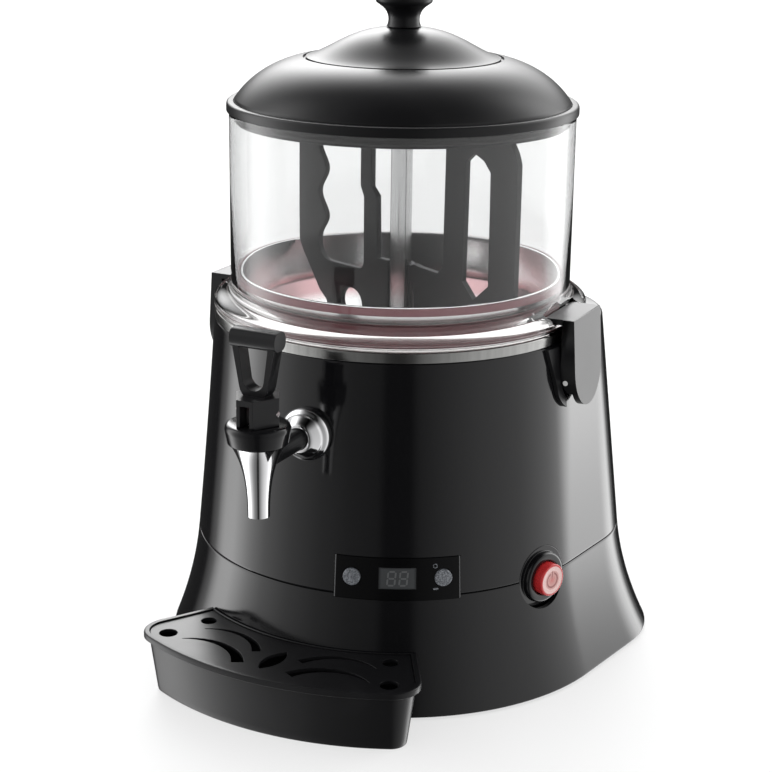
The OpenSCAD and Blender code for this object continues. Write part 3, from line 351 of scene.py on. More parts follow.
def moulded_satin(name, color, roughness, grain=0.00003, coarse=1400, glossy_cap=False):
    """Satin moulded plastic: spark-eroded grain, grain metres deep and coarse to the metre, with
    slightly polished patches."""
    f = Finish(name, color, roughness, Specular_IOR_Level=0.28)
    grit = f.noise(coarse, 2)
    patches = f.noise(22, 4)
    rough = roughness - 0.05 + patches * 0.1 + grit * 0.04
    if glossy_cap:
        rough = rough * (1 - near_cap(f) * 0.75)
    f.drive("Roughness", rough)
    f.drive("Base Color", f.mix(patches.ramp(0.45, 0.75) * 0.5, color, scaled(color, 1.35, 0.003)))
    f.bump(grit, grain, 0.6)
    return f.data


def turned_steel(name, color, roughness, brushing, bowl=False):
    """Sheet steel spun about the upright axis: fine rings, faint upright streaks and smears. The
    bowl is polished brighter, with a painted pink reflection of the gasket in a band of its wall."""
    f = Finish(name, color, roughness, Metallic=1.0)
    x, y, z = f.axes(f.point)
    az = f.around(x, y)
    radius = f.length(x, y)
    rings = f.noise(1, 3, f.joined(az * 2, z * 5200, radius * 5200))
    streaks = f.noise(1, 2, f.joined(az * 26, z * 14, 3.1))
    smear = f.noise(30, 4)
    f.drive("Roughness", roughness + (rings - 0.5) * brushing + (smear - 0.5) * 0.08)
    base = f.mix(streaks.ramp(0.3, 0.75) * 0.5, color, scaled(color, 0.72))
    if bowl:
        sheet = (radius > 20 * MM) * (z > (BOWL_FLOOR - 7) * MM)
        base = f.mix(sheet, base, (0.93, 0.93, 0.93))
        # painted reflection: a pink band on the bowl's wall, 182 to 209 mm up, stands in for the gasket
        # mirrored in the steel
        low, high = z.ramp(182 * MM, 192 * MM), z.ramp(200 * MM, 209 * MM)
        mirrored = low * (1 - high) * (radius > (BOWL_FLOOR_R - 4) * MM)
        base = f.mix(mirrored * 0.7, base, (0.5, 0.17, 0.19))
    f.drive("Base Color", base)
    f.bump(rings, 0.00001, 0.35)
    return f.data


def polished_chrome(name, color, roughness):
    """Chrome plate: near-mirror, with faint haze and tiny pits."""
    f = Finish(name, color, roughness, Metallic=1.0)
    haze = f.noise(45, 3)
    pits = f.noise(1600, 1).ramp(0.66, 0.75)
    f.drive("Roughness", roughness - 0.02 + haze * 0.06 + pits * 0.1)
    f.drive("Base Color", f.mix(haze * 0.3, color, scaled(color, 0.85)))
    f.bump(f.noise(30, 2), 0.00003, 0.2)
    return f.data


def clear_plastic(name, color, foot_color):
    """Clear moulded tank: faintly grey, greyer in its thick foot, with flow ripples and wiping marks."""
    f = Finish(name, color, 0.015, IOR=1.45, Transmission_Weight=1.0)
    x, y, z = f.axes(f.point)
    wipes = f.noise(1, 3, f.joined(f.around(x, y) * 3, z * 420, 1.0)).ramp(0.55, 0.85)
    foot = 1 - z.ramp((SKIRT_EDGE + 13) * MM, (SKIRT_EDGE + 17) * MM)
    f.drive("Base Color", f.mix(foot, color, foot_color))
    f.drive("Roughness", 0.012 + wipes * 0.03 + f.noise(25, 2) * 0.012)
    f.bump(f.noise(11, 1), 0.00005, 0.25)
    return f.data


def silicone(name, color, roughness=0.42):
    """Silicone rubber: cloudy colour, soft sheen and a little lint."""
    f = Finish(name, color, roughness, Sheen_Weight=0.15)
    cloud = f.noise(60, 3)
    lint = f.noise(1100, 2).ramp(0.62, 0.74)
    f.drive("Base Color", f.mix(cloud * 0.5, color, scaled(color, 0.82)))
    f.drive("Roughness", roughness + cloud * 0.12 + lint * 0.15)
    f.bump(f.noise(420, 2), 0.00002, 0.5)
    return f.data


def cast_metal(name, color, roughness):
    """Plain machined or cast metal with grain and tarnish."""
    f = Finish(name, color, roughness, Metallic=1.0)
    tarnish = f.noise(70, 5)
    f.drive("Base Color", f.mix(tarnish.ramp(0.35, 0.7), color, scaled(color, 0.6)))
    f.drive("Roughness", roughness - 0.05 + tarnish * 0.15)
    f.bump(f.noise(1500, 2), 0.00001, 0.5)
    return f.data


def circuit_board(name, color):
    """Green lacquered board: traces as fine lines between pads."""
    f = Finish(name, color, 0.3)
    cells = f.add("ShaderNodeTexVoronoi", {"feature": "DISTANCE_TO_EDGE"}, {"Vector": f.point, "Scale": 260})
    line = 1 - cells.ramp(0.02, 0.06)
    f.drive("Base Color", f.mix(line, color, (0.09, 0.33, 0.14)))
    f.drive("Roughness", 0.28 + line * 0.12 + f.noise(50) * 0.1)
    return f.data


def display_glass(name, color):
    """Smoked display window, darker at its edge; the unlit digits stand on it a little paler."""
    f = Finish(name, color, 0.12)
    x, y, z = f.axes(f.point)
    across = abs(f.around(x, y) - math.radians(PANEL_AZ)) / math.radians(WINDOW_HALF)
    up = abs(z - BUTTON_Z * MM) / (WINDOW_HALF_H * MM)
    edge = across.highest(up).ramp(0.82, 1.0)
    reach = 5.0
    slope = (front_r(BUTTON_Z - reach) - front_r(BUTTON_Z + reach)) / (2 * reach)
    face = (front_r(BUTTON_Z) + WINDOW_LIFT) * MM - (z - BUTTON_Z * MM) * slope
    raised = f.length(x, y) > face + 0.06 * MM
    glass = f.mix(edge, color, (0.02, 0.021, 0.022))
    f.drive("Base Color", f.mix(raised, glass, (0.085, 0.088, 0.09)))
    f.drive("Roughness", 0.1 + f.noise(400, 2) * 0.06)
    return f.data


def panel_plate(name, color):
    """The panel's plate: flatter and darker than the casing, with a painted highlight, a fine paler line, at
    both ends.
    """
    f = Finish(name, color, 0.16, Specular_IOR_Level=0.16)
    x, y, z = f.axes(f.point)
    across = abs(f.around(x, y) - math.radians(PANEL_AZ))
    # painted highlight: the colour turns paler within half a millimetre of both ends, where the bevels would
    # catch the light
    edge = across.ramp(math.radians(PANEL_HALF - 0.5), math.radians(PANEL_HALF - 0.38))
    f.drive("Base Color", f.mix(edge, color, (0.1, 0.1, 0.102)))
    f.drive("Roughness", 0.12 + f.noise(300, 2) * 0.1)
    return f.data


def speckled_rubber(name, color, speckle_color):
    """Dark grey rubber key with pale speckle."""
    f = Finish(name, color, 0.38)
    speckle = f.noise(1500, 2).ramp(0.42, 0.62)
    f.drive("Base Color", f.mix(speckle, color, speckle_color))
    f.drive("Roughness", 0.3 + speckle * 0.2)
    f.bump(speckle, 0.00002, 0.4)
    return f.data


def power_cap(name, color):
    """Red key with a pale lit face that carries the usual ring and stroke of a mains switch."""
    f = Finish(name, color, 0.28)
    x, y, z = f.axes(f.point)
    az = math.radians(SWITCH_AZ)
    across = (x * math.cos(az) + y * math.sin(az)) / MM
    outwards = (x * math.sin(az) - y * math.cos(az)) / MM
    up = (z - SWITCH_Z * MM) / MM
    radius = f.length(across, up)
    # in millimetres from the cap's axis: the face ends near 8.3, its darker disc near 5.7, and the
    # ring runs at 4.2, open at the top, where the stroke stands
    face = outwards.ramp(POWER_FACE - 0.7, POWER_FACE - 0.25) * (1 - radius.ramp(7.9, 8.6))
    disc = 1 - radius.ramp(5.5, 5.8)
    ring = 1 - abs(radius - 4.2).ramp(0.4, 0.6)
    mouth = (up > 1.5) * (1 - abs(across).ramp(1.3, 1.5))
    stroke = (1 - abs(across).ramp(0.35, 0.55)) * (up > 0.8) * (1 - up.ramp(5.4, 5.7))
    mark = (ring * (1 - mouth)).highest(stroke) * face
    lit = f.mix(disc, (0.62, 0.42, 0.4), (0.47, 0.25, 0.23))
    base = f.mix(face, color, lit)
    f.drive("Base Color", f.mix(mark, base, (0.22, 0.07, 0.065)))
    f.drive("Roughness", 0.2 + f.noise(200, 3) * 0.14)
    f.bump(f.noise(120, 2), 0.00002, 0.4)
    return f.data


FINISHES = {
    "gloss_black": moulded_gloss("gloss_black", (0.0035, 0.0035, 0.004), 0.09),
    "satin_black": moulded_satin("satin_black", (0.0045, 0.0045, 0.005), 0.3, glossy_cap=True),
    "food_black": moulded_satin("food_black", (0.006, 0.006, 0.0065), 0.34, 0.00004, 1000),
    "clear_tank": clear_plastic("clear_tank", (0.86, 0.865, 0.865), (0.66, 0.65, 0.645)),
    "polished_steel": turned_steel("polished_steel", (0.42, 0.42, 0.41), 0.2, 0.1),
    "satin_steel": turned_steel("satin_steel", (0.66, 0.66, 0.66), 0.2, 0.14, bowl=True),
    "chrome": polished_chrome("chrome", (0.8, 0.8, 0.81), 0.06),
    "pink_silicone": silicone("pink_silicone", (0.3, 0.12, 0.135)),
    "black_rubber": silicone("black_rubber", (0.018, 0.018, 0.018), 0.6),
    "motor_metal": cast_metal("motor_metal", (0.4, 0.4, 0.42), 0.4),
    "bronze": cast_metal("bronze", (0.5, 0.36, 0.18), 0.35),
    "board_green": circuit_board("board_green", (0.02, 0.16, 0.07)),
    "heater_aluminium": cast_metal("heater_aluminium", (0.6, 0.6, 0.61), 0.35),
    "natural_nylon": moulded_satin("natural_nylon", (0.62, 0.58, 0.5), 0.45),
    "display_glass": display_glass("display_glass", (0.042, 0.044, 0.046)),
    "button_grey": speckled_rubber("button_grey", (0.05, 0.055, 0.062), (0.2, 0.21, 0.23)),
    "power_red": power_cap("power_red", (0.4, 0.02, 0.022)),
}
for part in SUBPARTS:
    cad = frame["nodes"][part["node"]]
    cad.data.materials.clear()
    cad.data.materials.append(FINISHES[part["material_slot"]])


# ---- mesh tools --------------------------------------------------------------------------

def make_piece(name, vertices, faces, slot, body, replaces=(), sharp=SHARP, closed=False):
    """A mesh object from arrays, in millimetres, shaded smooth except where faces meet sharply; its
    open ends are filled if it has to be closed."""
    mesh = bpy.data.meshes.new(name)
    mesh.vertices.add(len(vertices))
    mesh.vertices.foreach_set("co", np.asarray(vertices * MM, np.float32).ravel())
    corners = np.asarray(faces, np.int32)
    sides = corners.shape[1]
    mesh.loops.add(corners.size)
    mesh.loops.foreach_set("vertex_index", corners.ravel())
    mesh.polygons.add(len(corners))
    mesh.polygons.foreach_set("loop_start", np.arange(0, corners.size, sides, dtype=np.int32))
    mesh.polygons.foreach_set("loop_total", np.full(len(corners), sides, np.int32))
    mesh.update(calc_edges=True)
    tidy_mesh(mesh, closed)
    return finish_piece(name, mesh, slot, body, replaces, sharp)


def finish_piece(name, mesh, slot, body, replaces, sharp):
    """An object for a mesh, which rides on a body, has a slot's finish and stands in for CAD nodes."""
    mesh.validate()
    mesh.polygons.foreach_set("use_smooth", np.ones(len(mesh.polygons), bool))
    mesh.set_sharp_from_angle(angle=math.radians(sharp))
    piece = bpy.data.objects.new(name, mesh)
    bpy.context.scene.collection.objects.link(piece)
    mesh.materials.clear()
    mesh.materials.append(FINISHES[slot])
    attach(piece, body)
    if replaces:
        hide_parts(*replaces)
    return piece


def tidy_mesh(mesh, closed=False):
    """Merges doubles, fills open ends where asked, and points the faces outwards."""
    work = bmesh.new()
    work.from_mesh(mesh)
    bmesh.ops.remove_doubles(work, verts=work.verts, dist=MERGE)
    if closed:
        bmesh.ops.holes_fill(work, edges=[edge for edge in work.edges if edge.is_boundary], sides=0)
    bmesh.ops.recalc_face_normals(work, faces=work.faces)
    work.to_mesh(mesh)
    work.free()


def loop_faces(rings, steps, joined=True):
    """Quads of a grid of rings x steps; the steps close on themselves, the rings too if joined."""
    i = np.arange(rings if joined else rings - 1)[:, None]
    j = np.arange(steps)[None, :]
    a = i * steps + j
    b = i * steps + (j + 1) % steps
    c = (i + 1) % rings * steps + (j + 1) % steps
    d = (i + 1) % rings * steps + j
    return np.stack([a, b, c, d], -1).reshape(-1, 4)


def skin(name, rings, slot, node, open_ends=False):
    """A smooth copy of a CAD node through rings of points, one per level. The last ring joins the
    first, or both ends are filled."""
    count, steps = rings.shape[:2]
    return make_piece(name, rings.reshape(-1, 3), loop_faces(count, steps, not open_ends), slot,
                      BODY_OF[node], (node,), closed=open_ends)


def rounded(points, radius, steps=4, closed=True):
    """A polyline whose corners are rounded: near each corner P it follows the quadratic
    curve (1-t)^2 A + 2t(1-t) P + t^2 B between points A and B on the two sides, at most radius
    from P and at most 0.45 of the side. radius is one number or one per corner."""
    p = np.asarray(points, float)
    r = np.broadcast_to(np.asarray(radius, float), len(p))[:, None]
    before, after = np.roll(p, 1, 0) - p, np.roll(p, -1, 0) - p
    len_b = np.linalg.norm(before, axis=1, keepdims=True) + 1e-12
    len_a = np.linalg.norm(after, axis=1, keepdims=True) + 1e-12
    a = p + before / len_b * np.minimum(r, 0.45 * len_b)
    b = p + after / len_a * np.minimum(r, 0.45 * len_a)
    t = np.linspace(0, 1, steps + 1)[None, :, None]
    bend = (1 - t) ** 2 * a[:, None] + 2 * t * (1 - t) * p[:, None] + t ** 2 * b[:, None]
    if not closed:
        bend[0], bend[-1] = p[0], p[-1]
    flat = bend.reshape(-1, 2)
    keep = np.linalg.norm(flat - np.roll(flat, 1, 0), axis=1) > 1e-5
    return flat[keep]


def bezier(points, steps):
    """The cubic curve s^3 P0 + 3 s^2 t P1 + 3 s t^2 P2 + t^3 P3 with s = 1 - t."""
    p = np.asarray(points, float)
    t = np.linspace(0, 1, steps + 1)[:, None]
    s = 1 - t
    return s ** 3 * p[0] + 3 * s * s * t * p[1] + 3 * s * t * t * p[2] + t ** 3 * p[3]


def turned(name, profile, slot, body, replaces, steps, place=None, sharp=SHARP):
    """A body of revolution: each profile point (r, z) becomes the ring (r cos t, r sin t, z).
    The profile is a closed loop in millimetres; points on the axis close into a pole."""
    profile = np.asarray(profile, float)
    t = np.arange(steps) * TAU / steps
    r, z = profile[:, :1], profile[:, 1:]
    rings = np.stack([r * np.cos(t), r * np.sin(t), z + 0 * t], -1)
    piece = make_piece(name, rings.reshape(-1, 3), loop_faces(len(profile), steps), slot, body,
                       replaces, sharp)
    if place is not None:
        piece.data.transform(place)
    return piece


def outwards_at(az, z):
    """Turns a piece made about +Z so that it points outwards at an azimuth and height."""
    return Matrix.Translation((0, 0, z * MM)) @ Matrix.Rotation(math.radians(az), 4, "Z") \
        @ Matrix.Rotation(math.pi / 2, 4, "X")


def carve(piece, cutters):
    """Takes each cutter's shape out of the piece, then deletes the cutters."""
    for tool in cutters:
        cut = piece.modifiers.new("cut", "BOOLEAN")
        cut.operation = "DIFFERENCE"
        cut.solver = "EXACT"
        cut.object = tool
    bpy.context.view_layer.update()
    result = bpy.data.meshes.new_from_object(piece.evaluated_get(bpy.context.evaluated_depsgraph_get()))
    piece.modifiers.clear()
    piece.data = result
    for tool in cutters:
        bpy.data.objects.remove(tool)
    piece.data.set_sharp_from_angle(angle=math.radians(SHARP))


def cutter(vertices, faces):
    """A closed shape, in millimetres, for carve."""
    mesh = bpy.data.meshes.new("cutter")
    mesh.from_pydata((vertices * MM).tolist(), [], faces)
    tidy_mesh(mesh)
    tool = bpy.data.objects.new("cutter", mesh)
    bpy.context.scene.collection.objects.link(tool)
    return tool


def prism(outline, az, z, reach):
    """A cutter: an outline (across, up) swept outwards at an azimuth, between two distances."""
    outline = np.asarray(outline, float)
    n = len(outline)
    a = math.radians(az)
    across = np.array([math.cos(a), math.sin(a), 0])
    out = np.array([math.sin(a), -math.cos(a), 0])
    flat = outline[:, :1] * across + np.array([0, 0, 1.0]) * (outline[:, 1:] + z)
    points = np.concatenate([flat + out * distance for distance in reach])
    i = np.arange(n)
    sides = np.stack([i, (i + 1) % n, n + (i + 1) % n, n + i], -1).tolist()
    return cutter(points, sides + [list(range(n)), list(range(2 * n - 1, n - 1, -1))])


def box(half_w, low, high):
    """A rectangle (across, up), symmetric about its upright middle."""
    return np.array([[half_w, low], [half_w, high], [-half_w, high], [-half_w, low]])


def moulded_copy(node, width):
    """A CAD node's own shape with rounded edges: doubles merged, flat triangles joined, edges bevelled."""
    corner = 35                # degrees from which an edge is rounded
    flat = math.radians(0.6)   # up to which neighbouring triangles lie in one plane
    mesh = frame["nodes"][node].data.copy()
    work = bmesh.new()
    work.from_mesh(mesh)
    bmesh.ops.remove_doubles(work, verts=work.verts, dist=2 * MERGE)
    bmesh.ops.dissolve_limit(work, angle_limit=flat, verts=work.verts, edges=work.edges)
    work.to_mesh(mesh)
    work.free()
    piece = finish_piece(node + "_moulded", mesh, SLOT_OF[node], BODY_OF[node], (node,), corner)
    bevel = piece.modifiers.new("edges", "BEVEL")
    bevel.width = width * MM
    bevel.segments = 2
    bevel.limit_method = "ANGLE"
    bevel.angle_limit = math.radians(corner)
    bevel.harden_normals = True
    return piece


# ---- casing and skirt --------------------------------------------------------------------

def at_height(plan, z):
    """Points (x, y) of one level, lifted to (x, y, z)."""
    return np.column_stack([plan, np.full(len(plan), z)])


def shell_rings(levels):
    """Rings of points for levels (z, inset)."""
    return np.array([at_height(casing_plan(z, inset), z) for z, inset in levels])


def round_edge(z, radius, start, end):
    """Levels (z + r sin t, r (1 - cos t)) along a rounded edge, t in degrees; 0 is outwards, 90 up."""
    t = np.radians(np.linspace(start, end, 6))
    return list(zip(z + radius * np.sin(t), radius * (1 - np.cos(t))))


def switch_cutter():
    """The switch's round hole through casing and skirt."""
    t = np.arange(96) * TAU / 96
    ring = SWITCH_HOLE_R * np.stack([np.cos(t), np.sin(t)], -1)
    return prism(ring, SWITCH_AZ, SWITCH_Z, (100, 150))


def panel_cutter():
    """The panel's recess: a sector of ring between the panel's two ends."""
    az = math.radians(PANEL_AZ) + np.linspace(-1, 1, 49) * math.radians(PANEL_HALF)
    low, high = PANEL_Z, PANEL_Z + PANEL_H
    corners = ((-PANEL_DEPTH, low), (3, low), (3, high), (-PANEL_DEPTH, high))
    rows = [at_height(polar(front_r(z) + out, az), z) for out, z in corners]
    n = len(az)
    i = np.arange(n - 1)
    faces = []
    for k in range(4):
        m = (k + 1) % 4
        faces += np.stack([k * n + i, k * n + i + 1, m * n + i + 1, m * n + i], -1).tolist()
    faces += [[k * n for k in range(4)], [k * n + n - 1 for k in (3, 2, 1, 0)]]
    return cutter(np.concatenate(rows), faces)


def build_casing():
    """The casing's levels from the seam up, the deck that narrows to the bowl's round hole, and the
    inner wall back down; then vents, inlet, switch hole and panel recess are cut."""
    low = SEAM_Z + 0.5
    edge = 1.4
    outer = round_edge(low + 0.7, 0.7, -90, 0)
    outer += [(z, 0) for z in np.linspace(low + 1.6, DECK_Z - edge - 1, 60)]
    outer += round_edge(DECK_Z - edge, edge, 0, 90)
    outer = shell_rings(outer)
    top = outer[-1][:, :2]
    hole = top / np.linalg.norm(top, axis=1, keepdims=True) * DECK_HOLE_R
    deck = [at_height(hole, z) for z in (DECK_Z, DECK_Z - DECK_T)]
    inner = shell_rings([(z, WALL) for z in np.linspace(DECK_Z - DECK_T, low, 14)])
    piece = skin("casing_shell", np.concatenate([outer, deck, inner]), "gloss_black", "upper_casing")
    middle = (VENT_COUNT - 1) / 2
    rear = (90, 140)
    cuts = [prism(box(VENT_W / 2, 0, VENT_H) + [(i - middle) * VENT_PITCH, 0], 180, VENT_Z, rear)
            for i in range(VENT_COUNT)]
    cuts.append(prism(box(INLET_W / 2, -INLET_H / 2, INLET_H / 2), 180, INLET_Z, rear))
    carve(piece, cuts + [switch_cutter(), panel_cutter()])


def build_skirt():
    """The skirt's levels from the counter up, the tongue that laps inside the casing, and the inner
    wall down to the lip; then switch hole and panel recess are cut."""
    edge = 1.0
    levels = round_edge(SKIRT_LOW + edge, edge, -90, 0)
    levels += [(z, 0) for z in np.linspace(SKIRT_LOW + edge + 1, SEAM_Z - 1.6, 44)]
    levels += round_edge(SEAM_Z - 0.7, 0.7, 0, 90)
    levels += [(SEAM_Z, LAP_IN), (SEAM_Z + LAP_H, LAP_IN), (SEAM_Z + LAP_H, WALL)]
    levels += [(z, WALL) for z in np.linspace(SEAM_Z, LIP_TOP, 16)]
    levels += [(LIP_TOP, LIP_W), (SKIRT_LOW, LIP_W)]
    piece = skin("skirt_shell", shell_rings(levels), "gloss_black", "lower_skirt")
    carve(piece, [switch_cutter(), panel_cutter()])


# ---- turned pieces of the bowl, tank and lid ---------------------------------------------

def build_band():
    """The band: an upright wall and a flange, with the edge between them rounded."""
    low = DECK_Z + GAP
    wall = CASING_R - 1
    profile = rounded([[wall, low], [CASING_R, low], [CASING_R, BAND_TOP], [BAND_IN, BAND_TOP],
                       [BAND_IN, BAND_TOP - 1], [wall, BAND_TOP - 1]], [0.2, 0.3, 1.6, 0.3, 0.3, 0.6], 6)
    turned("band_ring", profile, "polished_steel", "housing", ("steel_band",), 192)


def bowl_side(r):
    """The bowl's section from its upright wall at radius r down a long curve to its flat floor."""
    low = BOWL_FLOOR_R
    bend = FLANGE_Z - 7
    wall = bezier([[r, bend], [r - 5, bend - 14], [low + 8, BOWL_FLOOR + 16], [low, BOWL_FLOOR + 2]], 24)
    heel = bezier([[low, BOWL_FLOOR + 2], [low - 1.5, BOWL_FLOOR], [low - 6, BOWL_FLOOR],
                   [low - 12, BOWL_FLOOR]], 6)
    return np.concatenate([[[r, bend + 6], [r, bend]], wall[1:], heel[1:]])


def build_bowl():
    """The deep-drawn bowl with its rolled rim and the flange that rests on the band, and the boss
    that leads to the tap."""
    inner_r = BOWL_R - BOWL_T
    flange = CASING_R - 4
    flange_top = FLANGE_Z + BOWL_T
    rim = rounded([[inner_r, BOWL_RIM - 3], [inner_r, BOWL_RIM], [BOWL_R, BOWL_RIM], [BOWL_R, BOWL_RIM - 3]],
                  [0, 0.7, 0.7, 0], 4, closed=False)[::-1]
    seat = rounded([[BOWL_R, FLANGE_Z - 2], [BOWL_R, FLANGE_Z], [flange, FLANGE_Z], [flange, flange_top],
                    [BOWL_R, flange_top], [BOWL_R, flange_top + 3]],
                   [0, 1.2, 0.5, 0.5, 1.2, 0], 4, closed=False)
    shaft_hole = [[6.5, BOWL_FLOOR], [6.5, BOWL_FLOOR - BOWL_T]]
    outer = bowl_side(BOWL_R)[::-1] - [0, BOWL_T]
    profile = np.concatenate([rim, bowl_side(inner_r), shaft_hole, outer, seat])
    turned("bowl_spinning", profile, "satin_steel", "housing", ("heating_bowl",), 192)
    boss = rounded([[6.05, 60], [9, 60], [9, 98], [6.05, 98]], 0.4)
    turned("bowl_outlet", boss, "satin_steel", "housing", (), 64, outwards_at(0, TAP_Z))


def build_gaskets():
    """The L-shaped ring under the tank's foot and the square ring at the bowl's rim."""
    foot = TANK_FOOT
    low = FLANGE_Z + BOWL_T + GAP
    inner, outer = BOWL_R + GAP, TANK_IN - GAP
    flange = CASING_R - 4.6
    lower = [[inner, low], [flange, low], [flange, foot - GAP], [outer, foot - GAP], [outer, foot + 7],
             [BOWL_R + 0.9, foot + 7], [inner, foot + 6]]
    turned("lower_gasket_ring", rounded(lower, 0.5, 3), "pink_silicone", "housing", ("lower_gasket",), 160)
    top = BOWL_RIM - 0.3
    upper = [[inner, top - 4.2], [outer, top - 4.2], [outer, top], [inner, top]]
    turned("upper_gasket_ring", rounded(upper, [0.3, 0.3, 0.8, 0.8], 4), "pink_silicone", "housing",
           ("upper_gasket",), 160)


def build_tank():
    """The clear cylinder with its flanged foot, joined by a long fillet; a flat landing is cut into
    the fillet under each clip."""
    foot = CASING_R - 3.5
    rim = rounded([[TANK_IN, TANK_TOP - 3], [TANK_IN, TANK_TOP], [TANK_R, TANK_TOP], [TANK_R, TANK_TOP - 3]],
                  [0, 0.7, 0.7, 0], 4, closed=False)[::-1]
    flange = rounded([[TANK_IN, TANK_FOOT + 8], [TANK_IN, TANK_FOOT], [foot, TANK_FOOT], [foot, SKIRT_EDGE],
                      [CASING_R, SKIRT_EDGE], [CASING_R, LEDGE_Z + 0.2]],
                     [0, 0.5, 0.4, 0.4, 0.6, 0], 4, closed=False)
    fillet = bezier([[CASING_R, LEDGE_Z + 0.3], [CASING_R - 1, LEDGE_Z + 3.6], [TANK_R + 0.5, LEDGE_Z + 3.6],
                     [TANK_R, FOOT_TOP]], 24)
    profile = np.concatenate([rim, flange, fillet, [[TANK_R, TANK_TOP - 40]]])
    tank = turned("tank_cylinder", profile, "clear_tank", "housing", ("tank",), 256, sharp=40)
    carve(tank, [prism(box(CLIP_NOTCH, 0, 15.6), side, LEDGE_Z, (TANK_R + 0.25, 125)) for side in (90, 270)])


def low_dome(d):
    """The lid between its rim bead and the step, d below its face."""
    return bezier([[LID_R - BEAD_W - d, RIM_Z + 0.6 - d], [LID_R - 14 - d, RIM_Z + 14.5 - d],
                   [STEP_R + 16, STEP_Z - 2.2 - d], [STEP_R + 1.2, STEP_Z - d]], 36)


def high_dome(d):
    """The lid from its step to the knob's neck, d below its face."""
    return bezier([[STEP_R - 0.6, STEP_Z + 0.3 - d], [STEP_R - 14, STEP_Z + 3.6 - d],
                   [STEP_R - 25, APEX_Z - 1.2 - d], [NECK_R, APEX_Z - d]], 36)


def build_lid():
    """The lid: a hem that drops into the tank, a rim bead, two domes with a groove between them, and
    the same domes one wall lower inside."""
    seat_r = TANK_IN - 2.1
    hem_r = seat_r - 2.4
    hem = rounded([[hem_r, LID_Z], [hem_r, LID_Z - 6.6], [seat_r, LID_Z - 6.6], [seat_r, LID_Z],
                   [LID_R, LID_Z], [LID_R, RIM_Z], [LID_R - BEAD_W + 0.4, RIM_Z],
                   [LID_R - BEAD_W, RIM_Z - 0.6]],
                  [0, 0.5, 0.5, 0.2, 0.5, 2.4, 0.5, 0], 6, closed=False)
    groove_z = STEP_Z - GROOVE_D
    groove = rounded([[STEP_R + 0.9, groove_z], [STEP_R - 0.5, groove_z]], 0.2, 2, closed=False)
    screw_hole = [[3, APEX_Z], [3, APEX_Z - LID_WALL]]
    profile = np.concatenate([hem, low_dome(0), groove, high_dome(0), screw_hole,
                              high_dome(LID_WALL)[::-1], low_dome(LID_WALL)[::-1]])
    turned("lid_dome", profile, "satin_black", "lid", ("lid",), 224, sharp=50)


def build_knob():
    """The knob: a waisted neck that swells into a round head, as three curves in shares of its height."""
    low = APEX_Z + GAP

    def level(share):
        """The height at a share of the knob."""
        return low + KNOB_H * share

    stem = np.concatenate([
        [[0, low], [9, low]],
        bezier([[10, low + 0.4], [8.4, low + 3], [8, level(0.3)], [KNOB_R - 3, level(0.42)]], 12),
        bezier([[KNOB_R - 1, level(0.47)], [KNOB_R + 0.2, level(0.55)], [KNOB_R + 0.2, level(0.66)],
                [KNOB_R - 0.6, level(0.76)]], 8),
        bezier([[KNOB_R - 1.4, level(0.83)], [KNOB_R * 0.75, level(0.99)], [KNOB_R * 0.4, level(1)],
                [0, level(1)]], 14)])
    turned("knob_turning", stem, "satin_black", "lid", ("lid_knob",), 96, sharp=50)


# ---- tap ---------------------------------------------------------------------------------

def build_tap():
    """The chrome spout as a tapering curve with a thin wall, the cap ring over it, and the rosette
    on the casing."""
    at_tap = Matrix.Translation((0, -TAP_REACH * MM, 0))
    line = bezier([[14.8, CUP_LOW - 0.6], [9.6, TAP_Z + 1.5], [6, TAP_Z - 9.5], [6, SPOUT_TIP]], 36)
    shell = np.concatenate([line, [[5.6, SPOUT_TIP - 0.1], [5, SPOUT_TIP]], line[::-1][1:] - [1.2, 0]])
    turned("spout_shell", shell, "chrome", "housing", ("tap_spout",), 96, at_tap, sharp=50)
    floor = CUP_TOP - 3
    cap = rounded([[11.9, CUP_LOW], [16.3, CUP_LOW], [CUP_R, CUP_TOP - 2.4], [16.5, CUP_TOP],
                   [2.8, CUP_TOP], [2.8, floor], [11.9, floor]], [0.4, 0.7, 1.6, 1.4, 0.3, 0.3, 0.3], 6)
    turned("cap_ring", cap, "satin_black", "housing", ("tap_cap",), 96, at_tap, sharp=50)
    seat = front_r(TAP_Z) - 0.6
    rose = rounded([[6.1, 0], [15.3, 0], [15.3, 4.2], [12.7, 6.4], [12.2, 7.6], [8.2, 12.4], [6.1, 12.6]],
                   [0.2, 0.3, 2.0, 0.6, 0.6, 2.2, 0.5], 6)
    turned("rosette_dome", rose + [0, seat], "chrome", "housing", ("tap_rosette",), 96,
           outwards_at(0, TAP_Z), sharp=50)


# ---- switch, digits and marks ------------------------------------------------------------

def build_switch():
    """The bezel as a dish with a collar, and the red cap that slides in the collar."""
    place = outwards_at(SWITCH_AZ, SWITCH_Z)
    hole = POWER_R + 0.3
    bezel = rounded([[hole, -10], [hole + 1.8, -10], [hole + 1.8, 0], [18.3, 0], [18.3, 1.5], [15, 1.5],
                     [15, 4.2], [14, 5.6], [hole + 1, 5.6], [hole, 4.6]],
                    [0.2, 0.2, 0.2, 0.2, 0.4, 0.5, 0.8, 1.2, 0.6, 0.5], 5)
    turned("bezel_ring", bezel + [0, SWITCH_SEAT], "gloss_black", "housing", ("switch_bezel",), 96,
           place, sharp=50)
    back, face = SWITCH_SEAT + 1.5, POWER_FACE
    cap = rounded([[0, back], [POWER_R, back], [POWER_R, face], [7.6, face - 0.1], [0, face - 0.5]],
                  [0, 0.3, 1.1, 1.5, 0], 5, closed=False)
    turned("power_cap", cap, "power_red", "power_key", ("power_button",), 96, place, sharp=50)


def segment(half, t, lean, centre, upright):
    """A flat hexagonal bar of half length half and half width t, sheared by lean."""
    bar = np.array([[-half, 0], [-half + t, t], [half - t, t], [half, 0], [half - t, -t], [-half + t, -t]])
    bar = (bar[:, ::-1] if upright else bar) + centre
    return np.column_stack([bar[:, 0] + bar[:, 1] * lean, bar[:, 1]])


